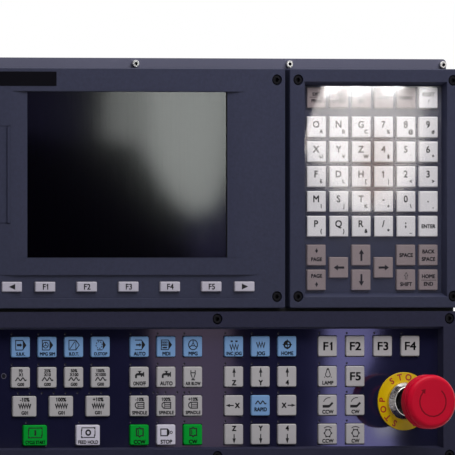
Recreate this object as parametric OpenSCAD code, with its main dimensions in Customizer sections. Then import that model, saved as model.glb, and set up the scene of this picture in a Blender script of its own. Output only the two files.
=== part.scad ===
// Control panel of a machine tool: a display unit, a keypad unit and an operator panel with an
// emergency stop, fixed to one mounting plate.
// The origin is the centre of the plate's back face. X runs to the right, Z up, and the front faces -Y.
// Each unit has its own frame: its centre on the front face, with y as the depth behind that face.

/* [Units] */
// Width of the display unit
display_w = 260; // [258:1:262]
// Width of the keypad unit
keypad_w = 143.5; // [142:0.5:145]
// Height of the display and keypad units
unit_h = 180; // [178:1:182]
// Height of the operator panel
operator_h = 114; // [112:1:116]
// Upright gap between the display and the keypad
gap_x = 3.7; // [2:0.1:5]
// Level gap between the upper units and the operator panel
gap_z = 2.6; // [2:0.1:4]
// Thickness of every bezel
bezel_t = 9.5; // [9.5:0.5:11]

/* [Plate] */
// Thickness of the mounting plate
plate_t = 3; // [3:0.5:4]
// Thickness of the gaskets
gasket_t = 1; // [0.5:0.5:1.5]
// Height of the plate's lips above and below the units
lip_h = 7.5; // [7:0.5:10]
// How far each lip stops short of the units' outer sides
lip_inset = 8.2; // [8:0.1:9]
// How far the plate behind the units stops short of their outer sides
plate_inset = 3; // [2:0.5:4]

/* [Screen] */
// Width of the screen's window
screen_w = 165; // [160:1:168]
// Height of the screen's window
screen_h = 124; // [120:1:126]
// Depth of the dished surround
dish_d = 1.8; // [1:0.1:2.5]
// Width of the slope at each side of the screen
dish_ramp = 14.5; // [8:0.5:14.5]

/* [Soft keys] */
// Width of a soft key
soft_key_w = 16.4; // [14:0.2:17]
// Height of a soft key
soft_key_h = 7.4; // [6:0.2:8]
// Spacing of the five middle soft keys
soft_key_pitch = 34.3; // [33:0.1:35]
// Spacing from an end key to its neighbour
arrow_key_pitch = 27.4; // [26:0.1:28]

/* [Keypad] */
// Side of a square key
key_size = 15.6; // [15:0.1:16]
// Spacing of the keys
key_pitch = 18.7; // [18.2:0.1:19]
// Depth of the keypad's pocket
keypad_pocket_d = 8; // [7:0.5:8]

/* [Operator panel] */
// Side of a key on the operator panel
panel_key = 15.3; // [15:0.1:16]
// Width of a wide key on the operator panel
wide_key = 19.5; // [18:0.1:20]
// Depth of the operator panel's pocket
operator_pocket_d = 7.4; // [6.5:0.1:7.4]

/* [Emergency stop] */
// Distance of the button's axis from the panel's middle
stop_x = 158.3; // [157:0.1:160]
// Radius of the red head
head_r = 20.4; // [19:0.1:21]
// Height of the head's widest place above the overlay
head_z = 42; // [38:0.5:44]
// Radius of the legend ring
ring_r = 21.9; // [21:0.1:23]

/* [Hidden] */
$fn = 48;
// Gap between a moving key and what surrounds it
slide_gap = 0.3;
// Travel of a key
key_travel = 1;
// Radial play of a pin or shaft in its own bore
running = 0.06;
total_w = display_w + gap_x + keypad_w;
plate_h = unit_h + gap_z + operator_h + 2 * lip_h;
face_y = -(plate_t + gasket_t + bezel_t);
display_x = -total_w / 2 + display_w / 2;
keypad_x = total_w / 2 - keypad_w / 2;
upper_z = plate_h / 2 - lip_h - unit_h / 2;
operator_z = -plate_h / 2 + lip_h + operator_h / 2;

// Screws: M4 hold the units from the front; M3 hold the plate and the rear covers.
m4_r = 2;
m4_head_r = 3.5;
m4_head_h = 4;
m4_hole_r = 2.25;
m4_sink_r = 4.1;
m4_sink_d = 4.4;
m4_l = 12;
m3_r = 1.5;
m3_head_r = 2.75;
m3_head_h = 3;
m3_hole_r = 1.6;
m3_l = 8;
m3_neck_r = 1.2;
hex_across = 0.9;
plate_screw_xs = [-191.9, -63.8, 63.8, 191.9];
plate_screw_z = plate_h / 2 - 4.2;
upper_inset = [7, 8.6];
operator_inset = [10.2, 5.5];

// Cut-outs in the plate and the rear covers over them
cutout_inset_x = 12;
cutout_inset_z = 10;
sheet_t = 1.2;
cover_margin = 1.5;
tab_w = 14;
tab_l = 7;
tab_screw_in = 5;
display_cover_d = 56;
keypad_cover_d = 30;
operator_cover_d = 52;
display_tab_x = 70;
keypad_tab_x = 35;
operator_tab_x = 120;
vent_w = 26;

// Display unit, behind its face
screen_z = 10;
glass_t = 1.8;
glass_y = dish_d + 1.2;
glass_size = [171, 130];
lcd_y = glass_y + glass_t;
lcd_size = [178, 133];
lcd_t = 12;
channel_w = 216;
channel_h = 17.8;
channel_d = 1.4;
channel_ramp = 18;
soft_z = -73.8;
soft_top_y = -0.5;
switch_h = 0.9;
soft_pocket_y = 4;
soft_pocket_h = 10.6;
soft_pocket_w = 226;
nameplate_size = [57, 10.8];
nameplate_at = [-87.8, 81.6];
door_w = 25.2;
door_h = 72;
door_t = 2.4;
door_x = -110.2;
door_gap = 0.4;
hinge_y = 1.7;
knuckle_r = 1.6;
hinge_r = 0.75;
hinge_x = door_x - door_w / 2 + knuckle_r;
port_w = 17.4;
port_h = 66;
port_x = -106.7;
port_y = 3.4;
port_l = 36;
board_t = 1.6;
main_board_y = 49;
fan_size = 60;
fan_t = 15;
fan_x = 88;
fan_z = 20;
fan_y = 13.5 + display_cover_d - sheet_t - fan_t;

// Keypad unit
keypad_pocket = [119, 162];
keypad_pocket_z = -0.75;
key_rise = 2.2;
rebate_lip = 3;
function_row_gap = 3.3;
edit_row_gap = 3;
first_row_z = 46.2;
stem_r = 2.5;
keypad_board_y = 14;

// Operator panel
operator_pocket = [376.4, 91.6];
operator_pocket_z = -0.35;
overlay_t = 0.6;
panel_key_rise = 1.6;
row_drop = [26.2, 48.9, 70.5, 92.2];
mode_xs = [for (i = [0:3]) -126.8 + (i - 1.5) * 21.9];
axis_xs = [for (i = [-1:1]) -39.7 + i * 22.1];
jog_xs = [for (i = [-1:1]) 38.5 + i * 22.1];
aux_xs = [for (i = [0:3]) 94.4 + i * 23];
tap_xs = [-156.4, -126.3, -96];
start_x = -147.7;
hold_x = -104.2;
operator_board_y = 14.5;

// Emergency stop, measured outwards from the overlay
stop_drop = 67.9;
ring_t = 1.2;
collar_r = 14.4;
barrel_r = 11;
stem_outer_r = 8.4;
spigot_r = 6;
nut_across = 27;

// ---- Places -------------------------------------------------------------------------------

module at_display() translate([display_x, face_y, upper_z]) children();
module at_keypad() translate([keypad_x, face_y, upper_z]) children();
module at_operator() translate([0, face_y, operator_z]) children();

// The button's axis: z grows outwards from the overlay's face.
module at_stop()
  translate([stop_x, face_y + operator_pocket_d, operator_z + operator_h / 2 - stop_drop])
    rotate([90, 0, 0]) children();

function soft_x(i) =
  i == 0 ? -2 * soft_key_pitch - arrow_key_pitch :
  i == 6 ? 2 * soft_key_pitch + arrow_key_pitch : (i - 3) * soft_key_pitch;
function key_x(column) = (column - 2.5) * key_pitch;
function key_z(row) =
  row == 0 ? first_row_z + key_pitch + function_row_gap : first_row_z - (row - 1) * key_pitch;
function edit_z(row) = key_z(5) - edit_row_gap - (row + 1) * key_pitch;
function panel_z(row) = operator_h / 2 - row_drop[row];

// ---- Shapes -------------------------------------------------------------------------------

// A flat shape drawn in X and Z, from depth y to y + t.
module slab(y, t) translate([0, y + t, 0]) rotate([90, 0, 0]) linear_extrude(t) children();

// A round bar along +Y from depth y.
module bar(y, l, r) translate([0, y, 0]) rotate([-90, 0, 0]) cylinder(h = l, r = r);

// A rectangle with true round corners.
module rounded_rect(w, h, r) {
  square([w - 2 * r, h], center = true);
  square([w, h - 2 * r], center = true);
  for (sx = [-1, 1], sz = [-1, 1])
    translate([sx * (w / 2 - r), sz * (h / 2 - r)]) circle(r = r);
}

// A pocket from the face down to its floor, whose walls slope inwards.
module sloped_pocket(w, h, d, slope_x, slope_z) {
  side = [
    [-w / 2, -1], [w / 2, -1], [w / 2, 0], [w / 2 - slope_x, d], [slope_x - w / 2, d], [-w / 2, 0]
  ];
  end = [
    [-1, -h / 2], [0, -h / 2], [d, slope_z - h / 2], [d, h / 2 - slope_z], [0, h / 2], [-1, h / 2]
  ];
  intersection() {
    translate([0, 0, -h]) linear_extrude(2 * h) polygon(side);
    translate([-w, 0, 0]) rotate([90, 0, 90]) linear_extrude(2 * w) polygon(end);
  }
}

// A key cap: its top at depth y, t thick, with a bevelled edge.
module key_cap(w, h, y, t, corner = 0.8, bevel = 0.6)
  intersection() {
    slab(y, t) rounded_rect(w, h, corner);
    translate([0, y, 0]) bevelled_bar(w, h, t, bevel);
  }

// A bar of the cap's size whose four top edges are cut back.
module bevelled_bar(w, h, t, bevel) {
  side = [
    [bevel - w / 2, 0], [w / 2 - bevel, 0], [w / 2, bevel], [w / 2, t], [-w / 2, t], [-w / 2, bevel]
  ];
  end = [
    [0, bevel - h / 2], [0, h / 2 - bevel], [bevel, h / 2], [t, h / 2], [t, -h / 2], [bevel, -h / 2]
  ];
  intersection() {
    translate([0, 0, -h / 2]) linear_extrude(h) polygon(side);
    translate([-w / 2, 0, 0]) rotate([90, 0, 90]) linear_extrude(w) polygon(end);
  }
}

// A key that slides in its window: a cap, a flange that holds it behind the wall, and a stem
module sliding_key(w, h, top_y, wall_back_y, stem_end_y, corner = 0.8) {
  flange_y = wall_back_y + slide_gap;
  key_cap(w, h, top_y, flange_y + 0.5 - top_y, corner, 0.5);
  slab(flange_y, 1) square([w + 2, h + 2], center = true);
  bar(flange_y + 0.5, stem_end_y - flange_y - 0.5, stem_r);
}

// A socket-head screw along +Y: its head starts at y, its shank is l long. Under the head the
// shank has a neck, which is as thick as the rest unless the screw is a captive one.
module socket_screw(y, head_r, head_h, shank_r, l, neck_r, neck_l)
  difference() {
    union() {
      bar(y, head_h, head_r);
      bar(y, head_h + neck_l + 0.5, neck_r);
      bar(y + head_h + neck_l, l - neck_l, shank_r);
    }
    translate([0, y - 1, 0]) rotate([-90, 0, 0])
      cylinder(h = 1 + head_h * 0.55, r = shank_r * hex_across, $fn = 6);
  }

module corners(w, h, inset)
  for (sx = [-1, 1], sz = [-1, 1])
    translate([sx * (w / 2 - inset[0]), 0, sz * (h / 2 - inset[1])]) children();

module at_unit_screws() {
  at_display() corners(display_w, unit_h, upper_inset) children();
  at_keypad() corners(keypad_w, unit_h, upper_inset) children();
  at_operator() {
    corners(total_w, operator_h, operator_inset) children();
    for (sz = [-1, 1]) translate([0, 0, sz * (operator_h / 2 - operator_inset[1])]) children();
  }
}

// The four places where a rear cover's tabs are screwed through the plate into the bezel
module tab_places(h, tab_x)
  for (sx = [-1, 1], sz = [-1, 1])
    translate([sx * tab_x, 0, sz * (h / 2 - tab_screw_in)]) children();

module at_cover_screws() {
  at_display() tab_places(unit_h, display_tab_x) children();
  at_keypad() tab_places(unit_h, keypad_tab_x) children();
  at_operator() tab_places(operator_h, operator_tab_x) children();
}

function cutout(w, h) = [w - 2 * cutout_inset_x, h - 2 * cutout_inset_z];

// The holes that every bezel has: counterbored M4 holes, and blind holes for the cover's screws
module counterbore() {
  bar(-1, bezel_t + 2, m4_hole_r);
  bar(-1, 1 + m4_sink_d, m4_sink_r);
}
module cover_screw_hole() bar(bezel_t - 3, 4, m3_hole_r);

module bezel_block(w, h, inset, tab_x)
  difference() {
    slab(0, bezel_t) rounded_rect(w, h, 1.5);
    corners(w, h, inset) counterbore();
    tab_places(h, tab_x) cover_screw_hole();
  }

// A flat gasket as wide as the bezel, open over the plate's cut-out
module gasket_sheet(w, h, inset, tab_x)
  color([0.1, 0.1, 0.1])
    difference() {
      slab(bezel_t, gasket_t)
        difference() {
          square([w - 2 * plate_inset - 1, h - 1], center = true);
          square(cutout(w, h), center = true);
        }
      corners(w, h, inset) bar(bezel_t - 1, gasket_t + 2, m4_hole_r);
      tab_places(h, tab_x) bar(bezel_t - 1, gasket_t + 2, m3_hole_r);
    }

// One gasket under each unit
module unit_gaskets() {
  at_display() gasket_sheet(display_w, unit_h, upper_inset, display_tab_x);
  at_keypad() gasket_sheet(keypad_w, unit_h, upper_inset, keypad_tab_x);
  at_operator()
    difference() {
      gasket_sheet(total_w, operator_h, operator_inset, operator_tab_x);
      for (sz = [-1, 1])
        translate([0, 0, sz * (operator_h / 2 - operator_inset[1])])
          bar(bezel_t - 1, gasket_t + 2, m4_hole_r);
    }
}

// The outer size of the rear cover over a cut-out
function cover_outer(w, h) = cutout(w, h) + [2 * cover_margin, 2 * cover_margin];

// The folded walls of a rear cover on the plate's back, with four screw tabs, and its own
// back if it has no separate one. d is the whole depth.
module rear_box(w, h, d, tab_x, own_back = false) {
  outer = cover_outer(w, h);
  inner = outer - [2 * sheet_t, 2 * sheet_t];
  y0 = bezel_t + gasket_t + plate_t;
  difference() {
    union() {
      slab(y0, own_back ? d : d - sheet_t) rounded_rect(outer[0], outer[1], 2);
      for (sx = [-1, 1], sz = [-1, 1])
        translate([sx * tab_x, 0, sz * (outer[1] / 2 + tab_l / 2 - 0.5)])
          slab(y0, sheet_t) square([tab_w, tab_l + 1], center = true);
    }
    slab(y0 - 1, d + (own_back ? 1 - sheet_t : 1)) rounded_rect(inner[0], inner[1], 1);
    tab_places(h, tab_x) bar(y0 - 1, sheet_t + 2, m3_hole_r);
  }
}

// A flat back, spot welded on the edges of a cover's walls
module cover_sheet(w, h, back_y)
  slab(back_y, sheet_t) rounded_rect(cover_outer(w, h)[0], cover_outer(w, h)[1], 2);

// A row of ventilation slots through a cover's wall, centred on its own place
module vent_row(count, pitch)
  for (i = [0:count - 1])
    translate([(i - (count - 1) / 2) * pitch, 0, 0])
      cube([pitch * 0.5, vent_w, 6], center = true);

module board(w, h, y) color([0.05, 0.3, 0.18]) slab(y, board_t) square([w, h], center = true);

// A block fitted on a board, at x and z from the board's centre
module chip(x, z, w, h, y, t) translate([x - w / 2, y, z - h / 2]) cube([w, t, h]);

// ---- Plate and screws -----------------------------------------------------------------------

module plate_outline() {
  body_w = total_w - 2 * plate_inset;
  square([body_w, plate_h - 2 * lip_h - 2], center = true);
  rounded_rect(total_w - 2 * lip_inset, plate_h, 3);
}

module mounting_plate()
  color([0.35, 0.35, 0.42])
    difference() {
      translate([0, -plate_t, 0]) slab(0, plate_t) plate_outline();
      at_display() slab(bezel_t, 6) square(cutout(display_w, unit_h), center = true);
      at_keypad() slab(bezel_t, 6) square(cutout(keypad_w, unit_h), center = true);
      at_operator() slab(bezel_t, 6) square(cutout(total_w, operator_h), center = true);
      at_unit_screws() bar(bezel_t - 1, 8, m4_r + 0.05);
      at_cover_screws() bar(bezel_t - 1, 8, m3_r + 0.05);
      for (x = plate_screw_xs, sz = [-1, 1])
        translate([x, 0, sz * plate_screw_z]) bar(-plate_t - 1, plate_t + 2, m3_r + 0.05);
    }

// Eight captive socket screws at the plate's lips, and twelve plain ones in the covers' tabs
module plate_screws()
  color([0.75, 0.73, 0.66]) {
    for (x = plate_screw_xs, sz = [-1, 1])
      translate([x, 0, sz * plate_screw_z])
        socket_screw(-plate_t - m3_head_h, m3_head_r, m3_head_h, m3_r, m3_l, m3_neck_r, plate_t);
    at_cover_screws()
      translate([0, bezel_t + gasket_t + plate_t + sheet_t, 0]) mirror([0, 1, 0])
        socket_screw(-m3_head_h, m3_head_r, m3_head_h, m3_r, m3_l - 0.3, m3_r, 1);
  }

module unit_screws()
  color([0.12, 0.12, 0.13])
    at_unit_screws()
      socket_screw(m4_sink_d - m4_head_h, m4_head_r, m4_head_h, m4_r, m4_l, m4_r, 1);

// ---- Display unit ---------------------------------------------------------------------------

module display_bezel()
  color([0.21, 0.22, 0.29])
    at_display()
      difference() {
        bezel_block(display_w, unit_h, upper_inset, display_tab_x);
        // Dished surround, screen window, and the pockets for the glass and the screen behind it
        translate([0, 0, screen_z]) {
          sloped_pocket(screen_w + 2 * dish_ramp, screen_h + 1, dish_d, dish_ramp, 0);
          slab(-1, bezel_t + 2) square([screen_w, screen_h], center = true);
          slab(glass_y, bezel_t) square(glass_size + [0.4, 0.4], center = true);
          slab(lcd_y, bezel_t) square(lcd_size + [0.6, 0.6], center = true);
        }
        // Channel and openings for the soft keys
        translate([0, 0, soft_z]) {
          sloped_pocket(channel_w, channel_h, channel_d, channel_ramp, 0.3);
          slab(soft_pocket_y, bezel_t) square([soft_pocket_w, soft_pocket_h], center = true);
          for (i = [0:6])
            translate([soft_x(i), 0, 0])
              slab(0, bezel_t)
                rounded_rect(soft_key_w + 2 * slide_gap, soft_key_h + 2 * slide_gap, 1);
        }
        // Seat of the nameplate
        translate([nameplate_at[0], 0, nameplate_at[1]])
          slab(-1, 1.5) square(nameplate_size, center = true);
        // Door opening, room for its knuckle, holes for its pin, and the way to the ports
        translate([door_x, 0, screen_z])
          slab(-1, 1 + door_t + 0.4)
            square([door_w + 2 * door_gap, door_h + 2 * door_gap], center = true);
        translate([hinge_x, hinge_y, screen_z]) {
          cylinder(h = door_h + 2 * door_gap, r = knuckle_r + 0.6, center = true);
          cylinder(h = door_h + 8, r = hinge_r, center = true);
        }
        translate([port_x, 0, screen_z])
          slab(1, bezel_t) square([port_w + 0.4, port_h + 0.6], center = true);
      }

module display_glass()
  color([0.03, 0.04, 0.05, 0.6])
    at_display() translate([0, 0, screen_z]) slab(glass_y, glass_t) square(glass_size, center = true);

module lcd_module()
  color([0.06, 0.07, 0.08])
    at_display() translate([0, 0, screen_z]) {
      slab(lcd_y, lcd_t) square(lcd_size, center = true);
      // Ears that are clamped against the bezel's back
      for (sx = [-1, 1], z = [-45, 45])
        chip(sx * (lcd_size[0] / 2 + 2.5), z, 7, 12, bezel_t, 1.5);
      // Driver board
      chip(10, 0, 120, 90, lcd_y + lcd_t, 4);
    }

module nameplate()
  color([0.03, 0.03, 0.04])
    at_display() translate([nameplate_at[0], 0, nameplate_at[1]])
      slab(-0.3, 0.8) square(nameplate_size - [0.2, 0.2], center = true);

// Card slot above, data port below, in one moulded block behind the door
module interface_module()
  color([0.12, 0.12, 0.13])
    at_display() translate([port_x, 0, screen_z])
      difference() {
        union() {
          slab(port_y, port_l) square([port_w, port_h], center = true);
          slab(bezel_t, 1.5) square([port_w, port_h + 10], center = true);
        }
        chip(0, 10, 5.4, 42, port_y - 1, 31);
        chip(0, -24, 5.4, 13, port_y - 1, 17);
      }

module door_hinge_pin()
  color([0.7, 0.7, 0.7])
    at_display() translate([hinge_x, hinge_y, screen_z])
      cylinder(h = door_h + 7, r = hinge_r, center = true);

module card_door()
  color([0.19, 0.2, 0.27])
    at_display() translate([0, 0, screen_z])
      difference() {
        union() {
          translate([(hinge_x + door_x + door_w / 2) / 2, 0, 0])
            slab(0, door_t)
              square([door_x + door_w / 2 - hinge_x, door_h], center = true);
          translate([hinge_x, hinge_y, 0]) cylinder(h = door_h, r = knuckle_r, center = true);
          // Lip to pull the door open by
          translate([door_x + door_w / 2 - 1.2, 0, 0])
            slab(-0.8, 1) square([2.4, door_h], center = true);
        }
        translate([hinge_x, hinge_y, 0])
          cylinder(h = door_h + 2, r = hinge_r + running, center = true);
      }

// Board with one switch behind each soft key
module softkey_board()
  at_display() {
    translate([0, 0, -69.7]) board(232, 14.6, bezel_t);
    color([0.7, 0.7, 0.7])
      for (i = [0:6]) chip(soft_x(i), soft_z, 6, 6, bezel_t - switch_h, switch_h);
  }

module main_board()
  at_display() {
    translate([-27, 0, 8]) board(170, 130, main_board_y);
    // Rear connectors, reaching through the cover
    color([0.1, 0.1, 0.1])
      for (x = [-92, -54, -16, 22]) chip(x, -40, 30, 12, main_board_y + board_t, 19);
    // Sockets for the two ribbons, on the front of the board
    color([0.1, 0.1, 0.1]) {
      chip(52, 45, 6, 24, main_board_y - 6, 6);
      chip(-20, -50, 24, 6, main_board_y - 6, 6);
    }
    // Heat sink and battery
    color([0.6, 0.6, 0.62]) chip(-60, 30, 40, 40, main_board_y - 12, 12);
    color([0.3, 0.35, 0.6]) chip(10, 10, 34, 16, main_board_y - 15, 15);
  }

// Walls of the display's cover, with slots for the two ribbons and vents above and below
module display_rear_cover()
  color([0.62, 0.62, 0.64])
    at_display()
      difference() {
        rear_box(display_w, unit_h, display_cover_d, display_tab_x);
        chip(display_w / 2 - 10, 45, 12, 26, 22, 5);
        chip(-20, -unit_h / 2 + 9, 26, 12, 22, 5);
        for (sz = [-1, 1])
          translate([0, 45, sz * (unit_h / 2 - 9)]) vent_row(14, 14);
      }

// Back of the display's cover, with windows for the sockets and the fan's guarded opening
module display_cover_back()
  color([0.62, 0.62, 0.64])
    at_display() {
      back_y = bezel_t + gasket_t + plate_t + display_cover_d - sheet_t;
      difference() {
        cover_sheet(display_w, unit_h, back_y);
        for (x = [-92, -54, -16, 22]) chip(x, -40, 30.6, 12.6, back_y - 1, 4);
        translate([fan_x, 0, fan_z]) bar(back_y - 1, 4, fan_size / 2 - 3);
      }
      // Rings and bars that guard the fan
      translate([fan_x, 0, fan_z]) {
        for (r = [10, 18])
          slab(back_y, sheet_t)
            difference() {
              circle(r = r + 1);
              circle(r = r - 1);
            }
        for (a = [0, 90])
          slab(back_y, sheet_t) rotate(a + 45) square([fan_size - 5, 2.4], center = true);
      }
      // Posts that carry the main board
      for (x = [-105, 50], z = [-50, 66])
        translate([x, 0, z])
          bar(main_board_y + board_t, back_y - main_board_y - board_t + 0.2, 3);
    }

module fan_frame()
  color([0.1, 0.1, 0.11])
    at_display() translate([fan_x, 0, fan_z]) {
      difference() {
        slab(fan_y, fan_t) rounded_rect(fan_size, fan_size, 3);
        bar(fan_y - 1, fan_t + 2, fan_size / 2 - 2);
        for (sx = [-1, 1], sz = [-1, 1])
          translate([sx * 25, 0, sz * 25]) bar(fan_y - 1, fan_t + 2, 2.1);
      }
      // Motor seat on four struts, and the fixed pin that the rotor turns on
      bar(fan_y, 2, 12);
      for (a = [45, 135])
        slab(fan_y, 2) rotate(a) square([fan_size - 2, 4], center = true);
      bar(fan_y, fan_t - 4, 2);
    }

module fan_rotor()
  color([0.16, 0.16, 0.17])
    at_display() translate([fan_x, fan_y + 3, fan_z])
      difference() {
        union() {
          bar(0, 10, 12);
          for (i = [0:6])
            rotate([0, i * 360 / 7, 0]) translate([0, 5, 18.5])
              rotate([0, 0, 38]) cube([11, 1.4, 15], center = true);
        }
        bar(-1, 10, 2 + running);
      }

module soft_key(i)
  color([0.8, 0.79, 0.8])
    at_display() translate([soft_x(i), 0, soft_z])
      sliding_key(soft_key_w, soft_key_h, soft_top_y, soft_pocket_y,
        bezel_t - switch_h - key_travel - 0.4);

// ---- Keypad unit ----------------------------------------------------------------------------

function keypad_floor() = [keypad_pocket[0] - 2.4, keypad_pocket[1] - 6];

module keypad_bezel()
  color([0.21, 0.22, 0.29])
    at_keypad()
      difference() {
        bezel_block(keypad_w, unit_h, upper_inset, keypad_tab_x);
        translate([0, 0, keypad_pocket_z]) {
          sloped_pocket(keypad_pocket[0], keypad_pocket[1], keypad_pocket_d, 1.2, 3);
          slab(keypad_pocket_d - 0.5, bezel_t) square(keypad_floor(), center = true);
          slab(keypad_pocket_d, bezel_t)
            square(keypad_floor() + [2 * rebate_lip + 0.4, 2 * rebate_lip + 0.4], center = true);
        }
      }

// Column, height and name order of the ten edit keys, then RESET and ENTER
pad_keys = [
  [0, edit_z(0)], [0, edit_z(1)], [1, edit_z(0.5)], [2, edit_z(0)], [2, edit_z(1)],
  [3, edit_z(0.5)], [4, edit_z(0)], [4, edit_z(1)], [5, edit_z(0)], [5, edit_z(1)],
  [5, key_z(0)], [5, key_z(5)]
];

// The address, number and function keys are springy caps that stand on one moulded plate.
module keypad_key_plate()
  at_keypad() {
    color([0.14, 0.14, 0.17])
      difference() {
        translate([0, 0, keypad_pocket_z])
          slab(keypad_pocket_d, bezel_t - keypad_pocket_d)
            square(keypad_floor() + [2 * rebate_lip, 2 * rebate_lip], center = true);
        for (place = pad_keys)
          translate([key_x(place[0]), 0, place[1]])
            slab(keypad_pocket_d - 1, 4)
              rounded_rect(key_size + 2 * slide_gap, key_size + 2 * slide_gap, 1);
      }
    color([0.85, 0.83, 0.82])
      for (row = [0:5], column = [0:5])
        if (column < 5 || (row > 0 && row < 5))
          translate([key_x(column), 0, key_z(row)])
            key_cap(key_size, key_size, keypad_pocket_d - key_rise, key_rise);
    color([0.14, 0.14, 0.17])
      for (x = [-57.6, 57.6], z = [-60, 60])
        translate([x, 0, z]) bar(bezel_t - 0.5, keypad_board_y - bezel_t + 0.5, 1.8);
  }

module pad_key(i, tint)
  color(tint)
    at_keypad() translate([key_x(pad_keys[i][0]), 0, pad_keys[i][1]])
      sliding_key(key_size, key_size, keypad_pocket_d - key_rise + slide_gap, bezel_t,
        keypad_board_y - key_travel - 0.4);

module keypad_film()
  color([0.9, 0.9, 0.95, 0.3])
    at_keypad() translate([0, 0, keypad_pocket_z])
      slab(keypad_pocket_d - key_rise - 0.3, 0.3)
        square(keypad_floor() - [0.6, 0.6], center = true);

module keypad_board()
  at_keypad() {
    board(118, 146, keypad_board_y);
    color([0.1, 0.1, 0.1]) chip(-43, 45, 10, 24, keypad_board_y + board_t, 7);
  }

module keypad_rear_cover()
  color([0.62, 0.62, 0.64])
    at_keypad()
      difference() {
        rear_box(keypad_w, unit_h, keypad_cover_d, keypad_tab_x, own_back = true);
        chip(10 - keypad_w / 2, 45, 12, 26, 22, 5);
        for (sz = [-1, 1]) translate([0, 28, sz * (unit_h / 2 - 9)]) vent_row(6, 14);
      }

// Flat cable from the keypad board's socket, behind the plate, to the main board's side socket
module keypad_ribbon()
  color([0.6, 0.6, 0.62]) {
    start_x = keypad_x - 43 - 5;
    end_x = display_x + 52;
    y1 = face_y + 24;
    y2 = face_y + main_board_y - 6;
    z0 = upper_z + 35;
    translate([end_x - 0.5, y1, z0]) cube([start_x - end_x + 0.5, 1, 20]);
    translate([end_x - 0.5, y1, z0]) cube([1, y2 - y1, 20]);
    translate([start_x - 0.5, y1 - 2, z0]) cube([0.5, 3, 20]);
  }

// ---- Operator panel ---------------------------------------------------------------------------

function operator_floor() = [operator_pocket[0] - 2.4, operator_pocket[1] - 3.2];
function operator_seat() = operator_floor() + [2 * rebate_lip, 2 * rebate_lip];

// Places of the panel's keys as [x, z, width]: those that stand on the mat, then those that move
mat_keys = concat(
  [for (x = mode_xs, row = [0, 1]) [x, panel_z(row), panel_key]],
  [for (x = tap_xs) [x, panel_z(2), wide_key]],
  [for (x = axis_xs, row = [0, 1, 2]) [x, panel_z(row), panel_key]],
  [for (x = jog_xs, row = [0:3]) [x, panel_z(row), panel_key]],
  [for (i = [0, 1], row = [0:3]) [aux_xs[i], panel_z(row), panel_key]],
  [for (i = [2, 3]) [aux_xs[i], panel_z(0), panel_key]]
);
moving_keys = concat(
  [[start_x, panel_z(3), wide_key], [hold_x, panel_z(3), wide_key]],
  [for (x = axis_xs) [x, panel_z(3), panel_key]]
);

module operator_bezel()
  color([0.17, 0.17, 0.23])
    at_operator()
      difference() {
        bezel_block(total_w, operator_h, operator_inset, operator_tab_x);
        for (sz = [-1, 1])
          translate([0, 0, sz * (operator_h / 2 - operator_inset[1])]) counterbore();
        translate([0, 0, operator_pocket_z]) {
          sloped_pocket(operator_pocket[0], operator_pocket[1], operator_pocket_d, 1.2, 1.6);
          slab(operator_pocket_d - 0.5, bezel_t) square(operator_floor(), center = true);
          slab(operator_pocket_d, bezel_t) square(operator_seat() + [0.4, 0.4], center = true);
        }
      }

// Thin printed sheet with a window for each key and a hole for the emergency stop
module operator_overlay()
  color([0.09, 0.08, 0.18])
    difference() {
      at_operator()
        difference() {
          translate([0, 0, operator_pocket_z])
            slab(operator_pocket_d, overlay_t) square(operator_seat(), center = true);
          for (key = concat(mat_keys, moving_keys))
            translate([key[0], 0, key[1]])
              slab(operator_pocket_d - 1, 3)
                square([key[2] + 0.8, panel_key + 0.8], center = true);
        }
      at_stop() cylinder(h = 10, r = barrel_r + 0.2, center = true);
    }

// Plate with the keys that it carries, and short pillars for the board
module operator_key_mat() {
  mat_y = operator_pocket_d + overlay_t;
  color([0.6, 0.58, 0.6])
    difference() {
      at_operator() {
        difference() {
          translate([0, 0, operator_pocket_z])
            slab(mat_y, bezel_t - mat_y) square(operator_seat(), center = true);
          for (key = moving_keys)
            translate([key[0], 0, key[1]])
              slab(mat_y - 1, 4)
                rounded_rect(key[2] + 2 * slide_gap, panel_key + 2 * slide_gap, 1.6);
        }
        for (key = mat_keys)
          translate([key[0], 0, key[1]])
            key_cap(key[2], panel_key, operator_pocket_d - panel_key_rise,
              panel_key_rise + overlay_t + 0.2, 1.6, 0.5);
        for (x = [-165, 0, 75], z = [-36, 36])
          translate([x, 0, z]) bar(bezel_t - 0.5, operator_board_y - bezel_t + 0.5, 2.5);
      }
      at_stop() cylinder(h = 20, r = barrel_r + 0.2, center = true);
    }
}

module panel_key_node(i, tint)
  color(tint)
    at_operator() translate([moving_keys[i][0], 0, moving_keys[i][1]])
      sliding_key(moving_keys[i][2], panel_key, operator_pocket_d - panel_key_rise, bezel_t,
        operator_board_y - key_travel - 0.4, 1.6);

module operator_board()
  difference() {
    at_operator() {
      board(344, 84, operator_board_y);
      color([0.1, 0.1, 0.1]) {
        chip(-93.6, 20, 24, 6, operator_board_y + board_t, 7.9);
        chip(60, 22, 60, 10, operator_board_y + board_t, 12);
      }
    }
    at_stop() cylinder(h = 60, r = 19, center = true);
  }

// Walls of the operator panel's cover
module operator_rear_cover()
  color([0.62, 0.62, 0.64])
    at_operator()
      difference() {
        rear_box(total_w, operator_h, operator_cover_d, operator_tab_x);
        chip(display_x - 20, operator_h / 2 - 9, 26, 12, 22, 5);
        for (sx = [-1, 1])
          translate([sx * 60, 40, 9 - operator_h / 2]) vent_row(6, 14);
      }

// Back of the operator panel's cover, with a gland collar round the cable entry
module operator_cover_back()
  color([0.62, 0.62, 0.64])
    at_operator() {
      back_y = bezel_t + gasket_t + plate_t + operator_cover_d - sheet_t;
      difference() {
        union() {
          cover_sheet(total_w, operator_h, back_y);
          translate([-150, 0, 0]) slab(back_y, 9) circle(r = 13);
        }
        translate([-150, 0, 0]) bar(back_y - 1, 12, 10.2);
      }
    }

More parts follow.
